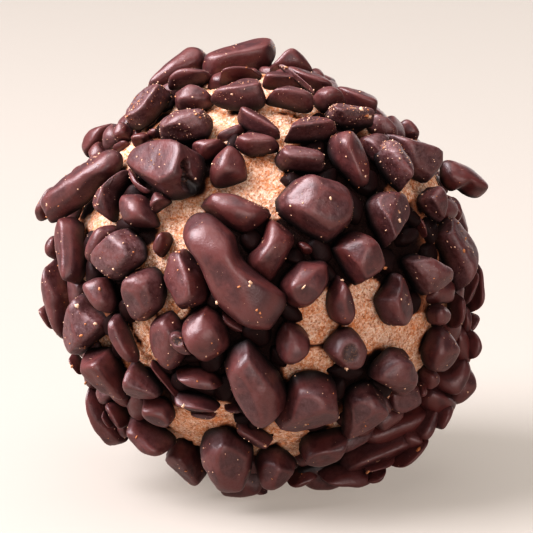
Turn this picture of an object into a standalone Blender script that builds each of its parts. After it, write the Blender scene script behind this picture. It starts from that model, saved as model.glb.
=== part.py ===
"""A marzipan praline: a hand-rolled ball of marzipan covered in broken dark chocolate.

The ball stands on the flats of its lowest nibs. +Z is up, -Y is the front, and the
origin is on the ground under the middle of the whole thing's box. Sizes are in
millimetres in the tables and in metres in the scene.

Every nib is a rounded block: a UV sphere whose points are drawn out to the flat faces
that the chocolate broke along. Its underside is moulded to the marzipan, its sides are
kept a hair's breadth from its neighbours, and the ones underneath are worn flat.
"""

import math
from dataclasses import dataclass

import bmesh
import bpy
import numpy as np

MM = 0.001

# The ball.
CORE_RADIUS = 15.8
CORE_UNEVENNESS = 0.12
CORE_SUBDIVISIONS = 4
CORE_WAVES = 7
CORE_WAVE_RATE = 2.0
CORE_SEED = 3
STANDING_HEIGHT = 17.6  # from the ground to the middle of the ball

# How the nibs sit.
GAP = 0.3  # between a nib and the marzipan, and between two nibs
SUNK = 0.3  # how far a nib's lower face lies under the marzipan's surface
CLOSE_ENOUGH = 1.3  # nibs further apart than this many times their reaches can't touch
LEAST_HALF = 0.9
LEAST_FACING = 0.45  # a nib near the rim is stretched back as if it faced the eye this much
MOST_EDGE_ON = 0.8  # the share of a nib's apparent size that its thickness may make up

# How the nibs broke.
NIB_SEGMENTS = 12
NIB_RINGS = 7
SIDE_FACES = (5, 8)
SIDE_LEAN = 0.35
TOP_FACES = 3
TOP_LEAN = (0.15, 0.5)
FACE_DEPTH = (0.88, 1.0)
EDGE_SHARPNESS = 5.5
FACE_JITTER = 0.3  # of the angle from one face to the next
WAIST_SHARE = 0.35  # of the half-length that a waist reaches over
NIB_SEED = 40

# The front nibs are laid out as an eye sees them that looks at the middle of the ball.
EYE_DISTANCE = 300.0
EYE_ELEVATION = math.radians(12.0)

# The nibs that the eye doesn't reach.
FAR_LATTICE = 67
FAR_LIMIT = -0.46  # a direction counts as out of sight below this share towards the eye
FAR_CLEARANCE = 6.4
FAR_LENGTH = (4.8, 7.4)
FAR_SLIMNESS = (0.55, 0.85)
FAR_THICKNESS = (2.5, 3.3)
FAR_TAPER = 0.3
FAR_SEED = 11
FOOT_POLAR_ANGLE = 20.5
FOOT_BEARINGS = (-18.0, 72.0, 162.0, 252.0)

MARZIPAN_COLOUR = (0.62, 0.40, 0.22, 1.0)
CHOCOLATE_COLOUR = (0.045, 0.022, 0.017, 1.0)


@dataclass(frozen=True)
class Nib:
    """One piece of broken chocolate, as it looks from the front.

    across and up place its middle from the middle of the ball, length and width are
    its apparent size, and turn is the tilt of its length, anticlockwise from level.
    taper widens it along its length, waist narrows its middle, bend curves it, and
    lift raises it where it lies on other nibs.
    """

    across: float
    up: float
    length: float
    width: float
    turn: float
    thickness: float = 3.0
    taper: float = 0.0
    waist: float = 0.0
    bend: float = 0.0
    lift: float = 0.0


FRONT_NIBS = {
    "nib_club": Nib(-1.8, 17.1, 6.0, 2.4, 25, 2.8, taper=0.3),
    "nib_rod": Nib(-6.8, 16.1, 5.7, 1.8, 38, 2.4),
    "nib_dusty_block": Nib(-9.1, 12.6, 4.5, 3.1, 45),
    "nib_toe": Nib(-1.8, 13.8, 4.5, 2.8, 5, taper=0.35),
    "nib_flat_dusty": Nib(-6.2, 11.3, 4.4, 2.8, 5, 2.8),
    "nib_roof": Nib(4.0, 11.0, 4.1, 2.6, 20, 2.8),
    "nib_high_slab": Nib(7.3, 12.1, 4.2, 2.4, -12, 2.8),
    "nib_leaner": Nib(7.0, 8.7, 4.7, 3.1, -65, 3.2),
    "nib_tooth": Nib(10.6, 8.2, 4.3, 3.2, -65, 3.2),
    "nib_spur": Nib(16.2, 7.2, 3.9, 2.2, -28, 2.4),
    "nib_long_left": Nib(-14.3, 6.6, 7.7, 3.3, 38, 3.0),
    "nib_wedge": Nib(-7.6, 7.8, 6.0, 4.7, 8, 4.2),
    "nib_curl": Nib(-12.0, 5.5, 4.2, 2.9, 52, bend=0.16),
    "nib_left_edge": Nib(-15.4, 1.1, 5.3, 2.9, 100),
    "nib_left_tall": Nib(-16.4, -2.6, 6.4, 2.8, 96),
    "nib_disc": Nib(-11.6, 1.1, 4.4, 4.0, 20, 3.2),
    "nib_low_disc": Nib(-9.5, -2.2, 4.2, 3.6, 90, 3.0),
    "nib_tall_pebble": Nib(-6.1, -1.0, 4.9, 3.3, -75, 3.2),
    "nib_boot": Nib(-2.2, -0.3, 10.1, 4.2, -52, 4.0, taper=0.18, waist=0.22),
    "nib_collar": Nib(-2.1, 4.4, 5.3, 2.8, -18, 3.0),
    "nib_hourglass": Nib(0.7, 1.3, 4.5, 2.8, 60, 3.0, waist=0.25),
    "nib_pentagon": Nib(4.4, 4.7, 6.1, 5.2, 10, 4.2),
    "nib_box": Nib(7.8, 0.7, 4.0, 3.9, 0, 3.6),
    "nib_arrow": Nib(10.3, 4.0, 4.2, 3.2, -80, taper=-0.3),
    "nib_right_edge": Nib(15.6, 1.5, 5.0, 3.2, -62, 3.2),
    "nib_right_pebble": Nib(10.4, -2.6, 4.5, 3.4, 75),
    "nib_right_slab": Nib(13.3, -0.6, 4.3, 3.3, -35),
    "nib_lid": Nib(10.5, -8.3, 4.2, 3.2, -25, 2.6, lift=0.5),
    "nib_right_low": Nib(14.4, -6.6, 3.8, 3.0, 80),
    "nib_trapezoid": Nib(3.6, -10.7, 5.4, 5.0, 20, 4.0),
    "nib_plough": Nib(8.2, -11.5, 4.7, 3.7, -80, taper=-0.3),
    "nib_oblong": Nib(-0.5, -9.5, 7.3, 4.2, -70, 3.6),
    "nib_knob": Nib(-4.5, -5.6, 4.4, 4.0, 60, 3.4),
    "nib_fin": Nib(-7.6, -6.0, 4.7, 2.9, 100),
    "nib_shoulder": Nib(-12.8, -8.7, 4.4, 3.6, -45, 3.2),
    "nib_left_dusty": Nib(-14.3, -4.7, 5.0, 3.3, -75),
    "nib_left_low": Nib(-12.7, -12.0, 5.7, 3.2, -65, 3.2),
    "nib_heel": Nib(-2.8, -15.6, 5.2, 4.4, 100, 3.4),
    "nib_long_low": Nib(9.2, -15.0, 6.1, 2.9, 25, 3.2),
}
FOOT_NIB = Nib(0, 0, 4.7, 3.7, 0, 3.9)


def unit(vector):
    """The vector at length one."""
    return vector / np.linalg.norm(vector)


def away_from_core(bearing, polar_angle):
    """The direction with this bearing from +X that leaves straight down by polar_angle."""
    bearing = math.radians(bearing)
    polar_angle = math.radians(polar_angle)
    level = math.sin(polar_angle)
    return np.array([level * math.cos(bearing), level * math.sin(bearing), -math.cos(polar_angle)])


TOWARDS_EYE = np.array([0.0, -math.cos(EYE_ELEVATION), math.sin(EYE_ELEVATION)])
EYE_RIGHT = np.array([1.0, 0.0, 0.0])
EYE_UP = np.cross(TOWARDS_EYE, EYE_RIGHT)
EYE = EYE_DISTANCE * TOWARDS_EYE


def core_radius(directions):
    """The ball's radius in each direction: a sphere with a few long, shallow waves."""
    rng = np.random.default_rng(CORE_SEED)
    axes = rng.normal(size=(CORE_WAVES, 3))
    phases = rng.uniform(0, 2 * math.pi, CORE_WAVES)
    waves = np.sin(CORE_WAVE_RATE * directions @ axes.T + phases)
    return CORE_RADIUS + CORE_UNEVENNESS * waves.sum(axis=-1) / math.sqrt(CORE_WAVES)


@dataclass
class Seat:
    """Where a nib sits: its middle from the middle of the ball, its axes and half sizes.

    The rows of axes are the directions of its length, its width and outwards.
    """

    name: str
    nib: Nib
    middle: np.ndarray
    axes: np.ndarray
    halves: np.ndarray

    @property
    def spread(self):
        """The matrix of the ellipsoid that the nib roughly fills."""
        return self.axes.T @ np.diag(self.halves**2) @ self.axes


def seen_middle(nib, distance):
    """The point at this distance from the middle of the ball where the eye sees the nib."""
    aim = nib.across * EYE_RIGHT + nib.up * EYE_UP
    ray = unit(aim - EYE)
    nearest = EYE - (EYE @ ray) * ray
    spare = distance**2 - nearest @ nearest
    if spare < 0:
        return nearest
    return nearest - math.sqrt(spare) * ray


def seen_footprint(nib, middle, outward):
    """The nib's axes and its half-length, half-width and half-thickness, from how it looks.

    An ellipsoid looks like an ellipse whose matrix is the sum of what its footprint and
    its thickness each project to. So the footprint's matrix is the rest, projected back.
    A nib near the rim is no thicker than its outline allows.
    """
    towards = unit(EYE - middle)
    right = unit(EYE_RIGHT - (EYE_RIGHT @ towards) * towards)
    view = np.array([right, np.cross(towards, right)])
    scale = np.linalg.norm(EYE - middle) / EYE_DISTANCE
    turn = math.radians(nib.turn)
    seen_axes = np.array([[math.cos(turn), math.sin(turn)], [-math.sin(turn), math.cos(turn)]])
    seen_halves = np.array([nib.length, nib.width]) / 2 * scale
    seen = seen_axes.T @ np.diag(seen_halves**2) @ seen_axes
    rim = view @ outward * nib.thickness / 2
    edge_on = rim @ np.linalg.solve(seen, rim)
    thinning = math.sqrt(min(1.0, MOST_EDGE_ON / edge_on))
    rim *= thinning
    beside = unit(np.cross(towards, outward))
    tangents = np.array([beside, np.cross(outward, beside)])
    facing = max(outward @ towards, LEAST_FACING)
    flat = np.array([view @ beside, view @ np.cross(towards, beside) * facing]).T
    back = np.linalg.inv(flat)
    squares, vectors = np.linalg.eigh(back @ (seen - np.outer(rim, rim)) @ back.T)
    halves = np.sqrt(np.maximum(squares, LEAST_HALF**2))
    sides = vectors.T @ tangents
    agreement = (flat @ vectors).T @ seen_axes[0]
    along = int(np.argmax(np.abs(agreement)))
    length = sides[along] * math.copysign(1, agreement[along])
    axes = np.array([length, np.cross(outward, length), outward])
    halves = np.array([halves[along], halves[1 - along], thinning * nib.thickness / 2])
    return axes, halves


def front_seats():
    """The seats of the nibs that are laid out as the eye sees them."""
    seats = []
    for name, nib in FRONT_NIBS.items():
        middle = seen_middle(nib, CORE_RADIUS + nib.thickness / 2 - SUNK + nib.lift)
        axes, halves = seen_footprint(nib, middle, unit(middle))
        seats.append(Seat(name, nib, middle, axes, halves))
    return seats


def plain_seat(name, outward, nib):
    """The seat of a nib of true sizes, its length at the nib's turn from the level direction."""
    level = unit(np.cross([0.0, 0.0, 1.0], outward))
    rising = np.cross(outward, level)
    turn = math.radians(nib.turn)
    along = math.cos(turn) * level + math.sin(turn) * rising
    axes = np.array([along, np.cross(outward, along), outward])
    middle = (CORE_RADIUS + nib.thickness / 2 - SUNK) * outward
    halves = np.array([nib.length, nib.width, nib.thickness]) / 2
    return Seat(name, nib, middle, axes, halves)


def foot_seats():
    """The seats of the four nibs that the ball stands on."""
    seats = []
    for number, bearing in enumerate(FOOT_BEARINGS, 1):
        outward = away_from_core(bearing, FOOT_POLAR_ANGLE)
        seats.append(plain_seat(f"nib_foot_{number}", outward, FOOT_NIB))
    return seats


def far_seats(taken):
    """The seats of the nibs out of sight: points of a golden-angle lattice that are free."""
    rng = np.random.default_rng(FAR_SEED)
    seats = []
    for point in range(FAR_LATTICE):
        height = 1 - (2 * point + 1) / FAR_LATTICE
        bearing = point * math.pi * (3 - math.sqrt(5))
        level = math.sqrt(1 - height**2)
        outward = np.array([level * math.cos(bearing), level * math.sin(bearing), height])
        length = rng.uniform(*FAR_LENGTH)
        width = length * rng.uniform(*FAR_SLIMNESS)
        turn = rng.uniform(0, 180)
        thickness = rng.uniform(*FAR_THICKNESS)
        taper = rng.uniform(0, FAR_TAPER)
        if outward @ TOWARDS_EYE > FAR_LIMIT:
            continue
        nib = Nib(0, 0, length, width, turn, thickness, taper)
        seat = plain_seat(f"nib_far_{len(seats) + 1:02d}", outward, nib)
        if all(np.linalg.norm(seat.middle - other.middle) > FAR_CLEARANCE for other in taken):
            seats.append(seat)
    return seats


def broken_faces(halves, rng):
    """The normals and distances of the flat faces that a nib of these half sizes broke along.

    The side faces go round it at uneven angles, leaning in or out, a few faces slope
    over its top, and one closes it underneath.
    """
    sides = rng.integers(*SIDE_FACES)
    steps = np.arange(sides) + rng.uniform(-FACE_JITTER, FACE_JITTER, sides)
    angles = rng.uniform(0, 2 * math.pi) + steps * 2 * math.pi / sides
    leans = rng.uniform(-SIDE_LEAN, SIDE_LEAN, sides)
    top_steps = np.arange(TOP_FACES) + rng.uniform(-FACE_JITTER, FACE_JITTER, TOP_FACES)
    top_angles = rng.uniform(0, 2 * math.pi) + top_steps * 2 * math.pi / TOP_FACES
    top_leans = math.pi / 2 - rng.uniform(*TOP_LEAN, TOP_FACES)
    angles = np.concatenate([angles, top_angles, [0]])
    leans = np.concatenate([leans, top_leans, [-math.pi / 2]])
    level = np.cos(leans)
    normals = np.column_stack([level * np.cos(angles), level * np.sin(angles), np.sin(leans)])
    depths = rng.uniform(*FACE_DEPTH, len(normals))
    return normals, depths * np.linalg.norm(normals * halves, axis=1)


def warped(points, nib, halves):
    """The points tapered along the nib's length, drawn in at its waist and bent."""
    share = points[:, 0] / halves[0]
    width = (1 + nib.taper * share) * (1 - nib.waist * np.exp(-((share / WAIST_SHARE) ** 2)))
    bent = points.copy()
    bent[:, 1] = points[:, 1] * width + nib.bend * (halves[0] ** 2 / 3 - points[:, 0] ** 2)
    return bent


def nib_points(seat, directions, rng):
    """The nib's points from the middle of the ball, before it meets anything else.

    Along a direction the surface lies where the p-norm of the faces' shares is one, so
    every face is flat in its middle and rounds off into the next.
    """
    normals, distances = broken_faces(seat.halves, rng)
    directions = directions * seat.halves
    directions /= np.linalg.norm(directions, axis=1, keepdims=True)
    shares = np.clip(directions @ normals.T / distances, 0, None)
    reach = (shares**EDGE_SHARPNESS).sum(axis=1) ** (-1 / EDGE_SHARPNESS)
    local = warped(directions * reach[:, None], seat.nib, seat.halves)
    return seat.middle + local @ seat.axes


def out_of_core(points):
    """The points, with those that lie in the marzipan moved straight out of it."""
    distances = np.linalg.norm(points, axis=1, keepdims=True)
    outwards = points / distances
    least = core_radius(outwards)[:, None] + GAP
    return outwards * np.maximum(distances, least)


def drawn_back(points, middle, normal, limit):
    """The points, with those beyond a plane drawn back to it, straight towards middle."""
    beyond = (points - middle) @ normal
    room = limit - middle @ normal
    share = np.where(beyond > room, room / np.maximum(beyond, room), 1.0)
    return middle + (points - middle) * share[:, None]


def shared_plane(first, second):
    """The normal and offset of the plane between two nibs, or None where they're far apart."""
    apart = second.middle - first.middle
    normal = unit(np.linalg.solve(first.spread + second.spread, apart))
    reaches = [math.sqrt(normal @ seat.spread @ normal) for seat in (first, second)]
    distance = apart @ normal
    if distance > CLOSE_ENOUGH * sum(reaches) + GAP:
        return None
    return normal, first.middle @ normal + distance * reaches[0] / sum(reaches)


def fitted(seats, clouds):
    """The nibs' points once they're clear of the marzipan, of each other and of the ground."""
    clouds = [out_of_core(points) for points in clouds]
    for i, first in enumerate(seats):
        for j in range(i + 1, len(seats)):
            plane = shared_plane(first, seats[j])
            if plane is None:
                continue
            normal, offset = plane
            clouds[i] = drawn_back(clouds[i], first.middle, normal, offset - GAP / 2)
            clouds[j] = drawn_back(clouds[j], seats[j].middle, -normal, -offset - GAP / 2)
    down = np.array([0.0, 0.0, -1.0])
    return [
        drawn_back(points, seat.middle, down, STANDING_HEIGHT)
        for seat, points in zip(seats, clouds)
    ]


def make_material(name, colour, roughness):
    """A Principled material with one colour."""
    material = bpy.data.materials.new(name)
    material.use_nodes = True
    material.diffuse_color = colour
    shader = material.node_tree.nodes["Principled BSDF"]
    shader.inputs["Base Color"].default_value = colour
    shader.inputs["Roughness"].default_value = roughness
    shader.inputs["Metallic"].default_value = 0.0
    return material


def sphere_mesh(name, round_shape):
    """A mesh of one primitive, made by round_shape in a bmesh, with its unit directions."""
    mesh = bpy.data.meshes.new(name)
    shape = bmesh.new()
    round_shape(shape)
    bmesh.ops.recalc_face_normals(shape, faces=shape.faces)
    shape.to_mesh(mesh)
    shape.free()
    directions = np.empty(len(mesh.vertices) * 3)
    mesh.vertices.foreach_get("co", directions)
    return mesh, directions.reshape(-1, 3)


def add_part(name, mesh, points, place, material, collection, parent):
    """An object of the mesh with its points at these places, its origin at place."""
    mesh.vertices.foreach_set("co", ((points - place) * MM).ravel())
    mesh.materials.append(material)
    mesh.shade_smooth()
    mesh.update()
    part = bpy.data.objects.new(name, mesh)
    part.location = place * MM
    part.parent = parent
    collection.objects.link(part)
    return part


def clear_scene():
    """Remove the objects that the file opened with."""
    for old in list(bpy.data.objects):
        bpy.data.objects.remove(old)


def main():
    """Model the ball and its nibs."""
    clear_scene()
    collection = bpy.data.collections.new("marzipan_praline")
    bpy.context.scene.collection.children.link(collection)
    stand = bpy.data.objects.new("praline", None)
    collection.objects.link(stand)

    seats = front_seats() + foot_seats()
    seats += far_seats(seats)
    meshes = []
    clouds = []
    for number, seat in enumerate(seats):
        mesh, directions = sphere_mesh(
            seat.name,
            lambda shape: bmesh.ops.create_uvsphere(
                shape, u_segments=NIB_SEGMENTS, v_segments=NIB_RINGS, radius=1
            ),
        )
        meshes.append(mesh)
        clouds.append(nib_points(seat, directions, np.random.default_rng(NIB_SEED + number)))
    clouds = fitted(seats, clouds)

    core_mesh, directions = sphere_mesh(
        "marzipan_ball",
        lambda shape: bmesh.ops.create_icosphere(shape, subdivisions=CORE_SUBDIVISIONS, radius=1),
    )
    core_points = directions * core_radius(directions)[:, None]

    everything = np.concatenate(clouds + [core_points])
    middle = (everything.min(axis=0) + everything.max(axis=0)) / 2
    to_ground = np.array([-middle[0], -middle[1], STANDING_HEIGHT])
    marzipan = make_material("marzipan", MARZIPAN_COLOUR, 0.85)
    chocolate = make_material("dark_chocolate", CHOCOLATE_COLOUR, 0.4)
    add_part(
        "marzipan_ball",
        core_mesh,
        core_points + to_ground,
        to_ground,
        marzipan,
        collection,
        stand,
    )
    for seat, mesh, points in zip(seats, meshes, clouds):
        place = seat.middle + to_ground
        add_part(seat.name, mesh, points + to_ground, place, chocolate, collection, stand)


main()
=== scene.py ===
"""The looks of a marzipan praline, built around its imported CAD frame.

A hand-rolled ball of marzipan is coated in broken dark chocolate. Each nib of the frame
is replaced by a finely cut one, smaller nibs fill the room between, and crumbs cling to
their faces.

Lengths are in millimetres, and places are measured from the ball's middle, which is read
from the frame, unless their description says metres. A mesh is made in metres.
"""

import logging
import math
from dataclasses import dataclass, field, replace
from enum import Enum

import bpy
import numpy as np
from mathutils import Matrix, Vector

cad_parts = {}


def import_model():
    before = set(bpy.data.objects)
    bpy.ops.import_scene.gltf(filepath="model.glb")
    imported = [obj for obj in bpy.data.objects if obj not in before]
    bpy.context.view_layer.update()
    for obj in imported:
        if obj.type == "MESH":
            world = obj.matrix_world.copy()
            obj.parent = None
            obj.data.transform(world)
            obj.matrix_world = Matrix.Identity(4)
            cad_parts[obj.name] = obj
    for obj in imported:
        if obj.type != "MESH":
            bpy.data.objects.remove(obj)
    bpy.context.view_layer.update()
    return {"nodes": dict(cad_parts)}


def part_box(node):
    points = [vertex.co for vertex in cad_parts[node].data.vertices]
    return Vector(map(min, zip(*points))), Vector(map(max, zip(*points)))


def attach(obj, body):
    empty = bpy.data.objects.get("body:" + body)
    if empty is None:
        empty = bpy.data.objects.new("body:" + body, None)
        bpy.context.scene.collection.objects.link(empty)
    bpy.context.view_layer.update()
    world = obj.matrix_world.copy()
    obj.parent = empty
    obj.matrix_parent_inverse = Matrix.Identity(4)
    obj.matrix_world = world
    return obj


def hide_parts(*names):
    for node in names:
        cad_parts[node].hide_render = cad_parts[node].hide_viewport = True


LOG = logging.getLogger("praline")
MM = 0.001
BALL = "marzipan_ball"
BODY = "root"
FAR_OFF = 9.0  # more room than there is round any nib

Array = np.ndarray
Colour = tuple[float, float, float]
Material = bpy.types.Material
Socket = bpy.types.NodeSocket


class Cut(Enum):
    """How a nib broke, which sets how sharp its edges are and how many corners it lost.

    The values are the sharpness of its edges and the number of chamfers.
    """

    PEBBLE = (4.6, 3)
    BLOCK = (8.5, 3)
    PLATE = (7.0, 1)
    SPLINTER = (4.0, 2)
    RIDGE = (9.0, 0)
    SMOOTH = (3.8, 0)


@dataclass(frozen=True)
class Plan:
    """One nib of the front, as it looks from the front.

    Attributes:
        outline: points round it in order, each as across and up from the ball's middle.
        thick: its thickness, away from the marzipan.
        lift: how far it is raised, where it lies on or in front of other nibs.
        cut: how it broke.
        dust: how dusty its faces are, from 0 to 1.
        crest: the ends of the ridge along its top, as across, up, across, up.
        falls: how steeply the faces beside that ridge fall, in degrees.
        pits: rough hollows in it, each as across, up, radius and depth.
        behind: whether it sits past the rim.
    """

    outline: tuple[float, ...]
    thick: float = 2.6
    lift: float = 0.0
    cut: Cut = Cut.PEBBLE
    dust: float = 0.25
    crest: tuple[float, float, float, float] | None = None
    falls: tuple[float, float] = (38.0, 38.0)
    pits: tuple[tuple[float, float, float, float], ...] = ()
    behind: bool = False

    @property
    def curve(self) -> Array:
        """The smooth curve round it, as seen."""
        return smooth_outline(np.array(self.outline).reshape(-1, 2))


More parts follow.
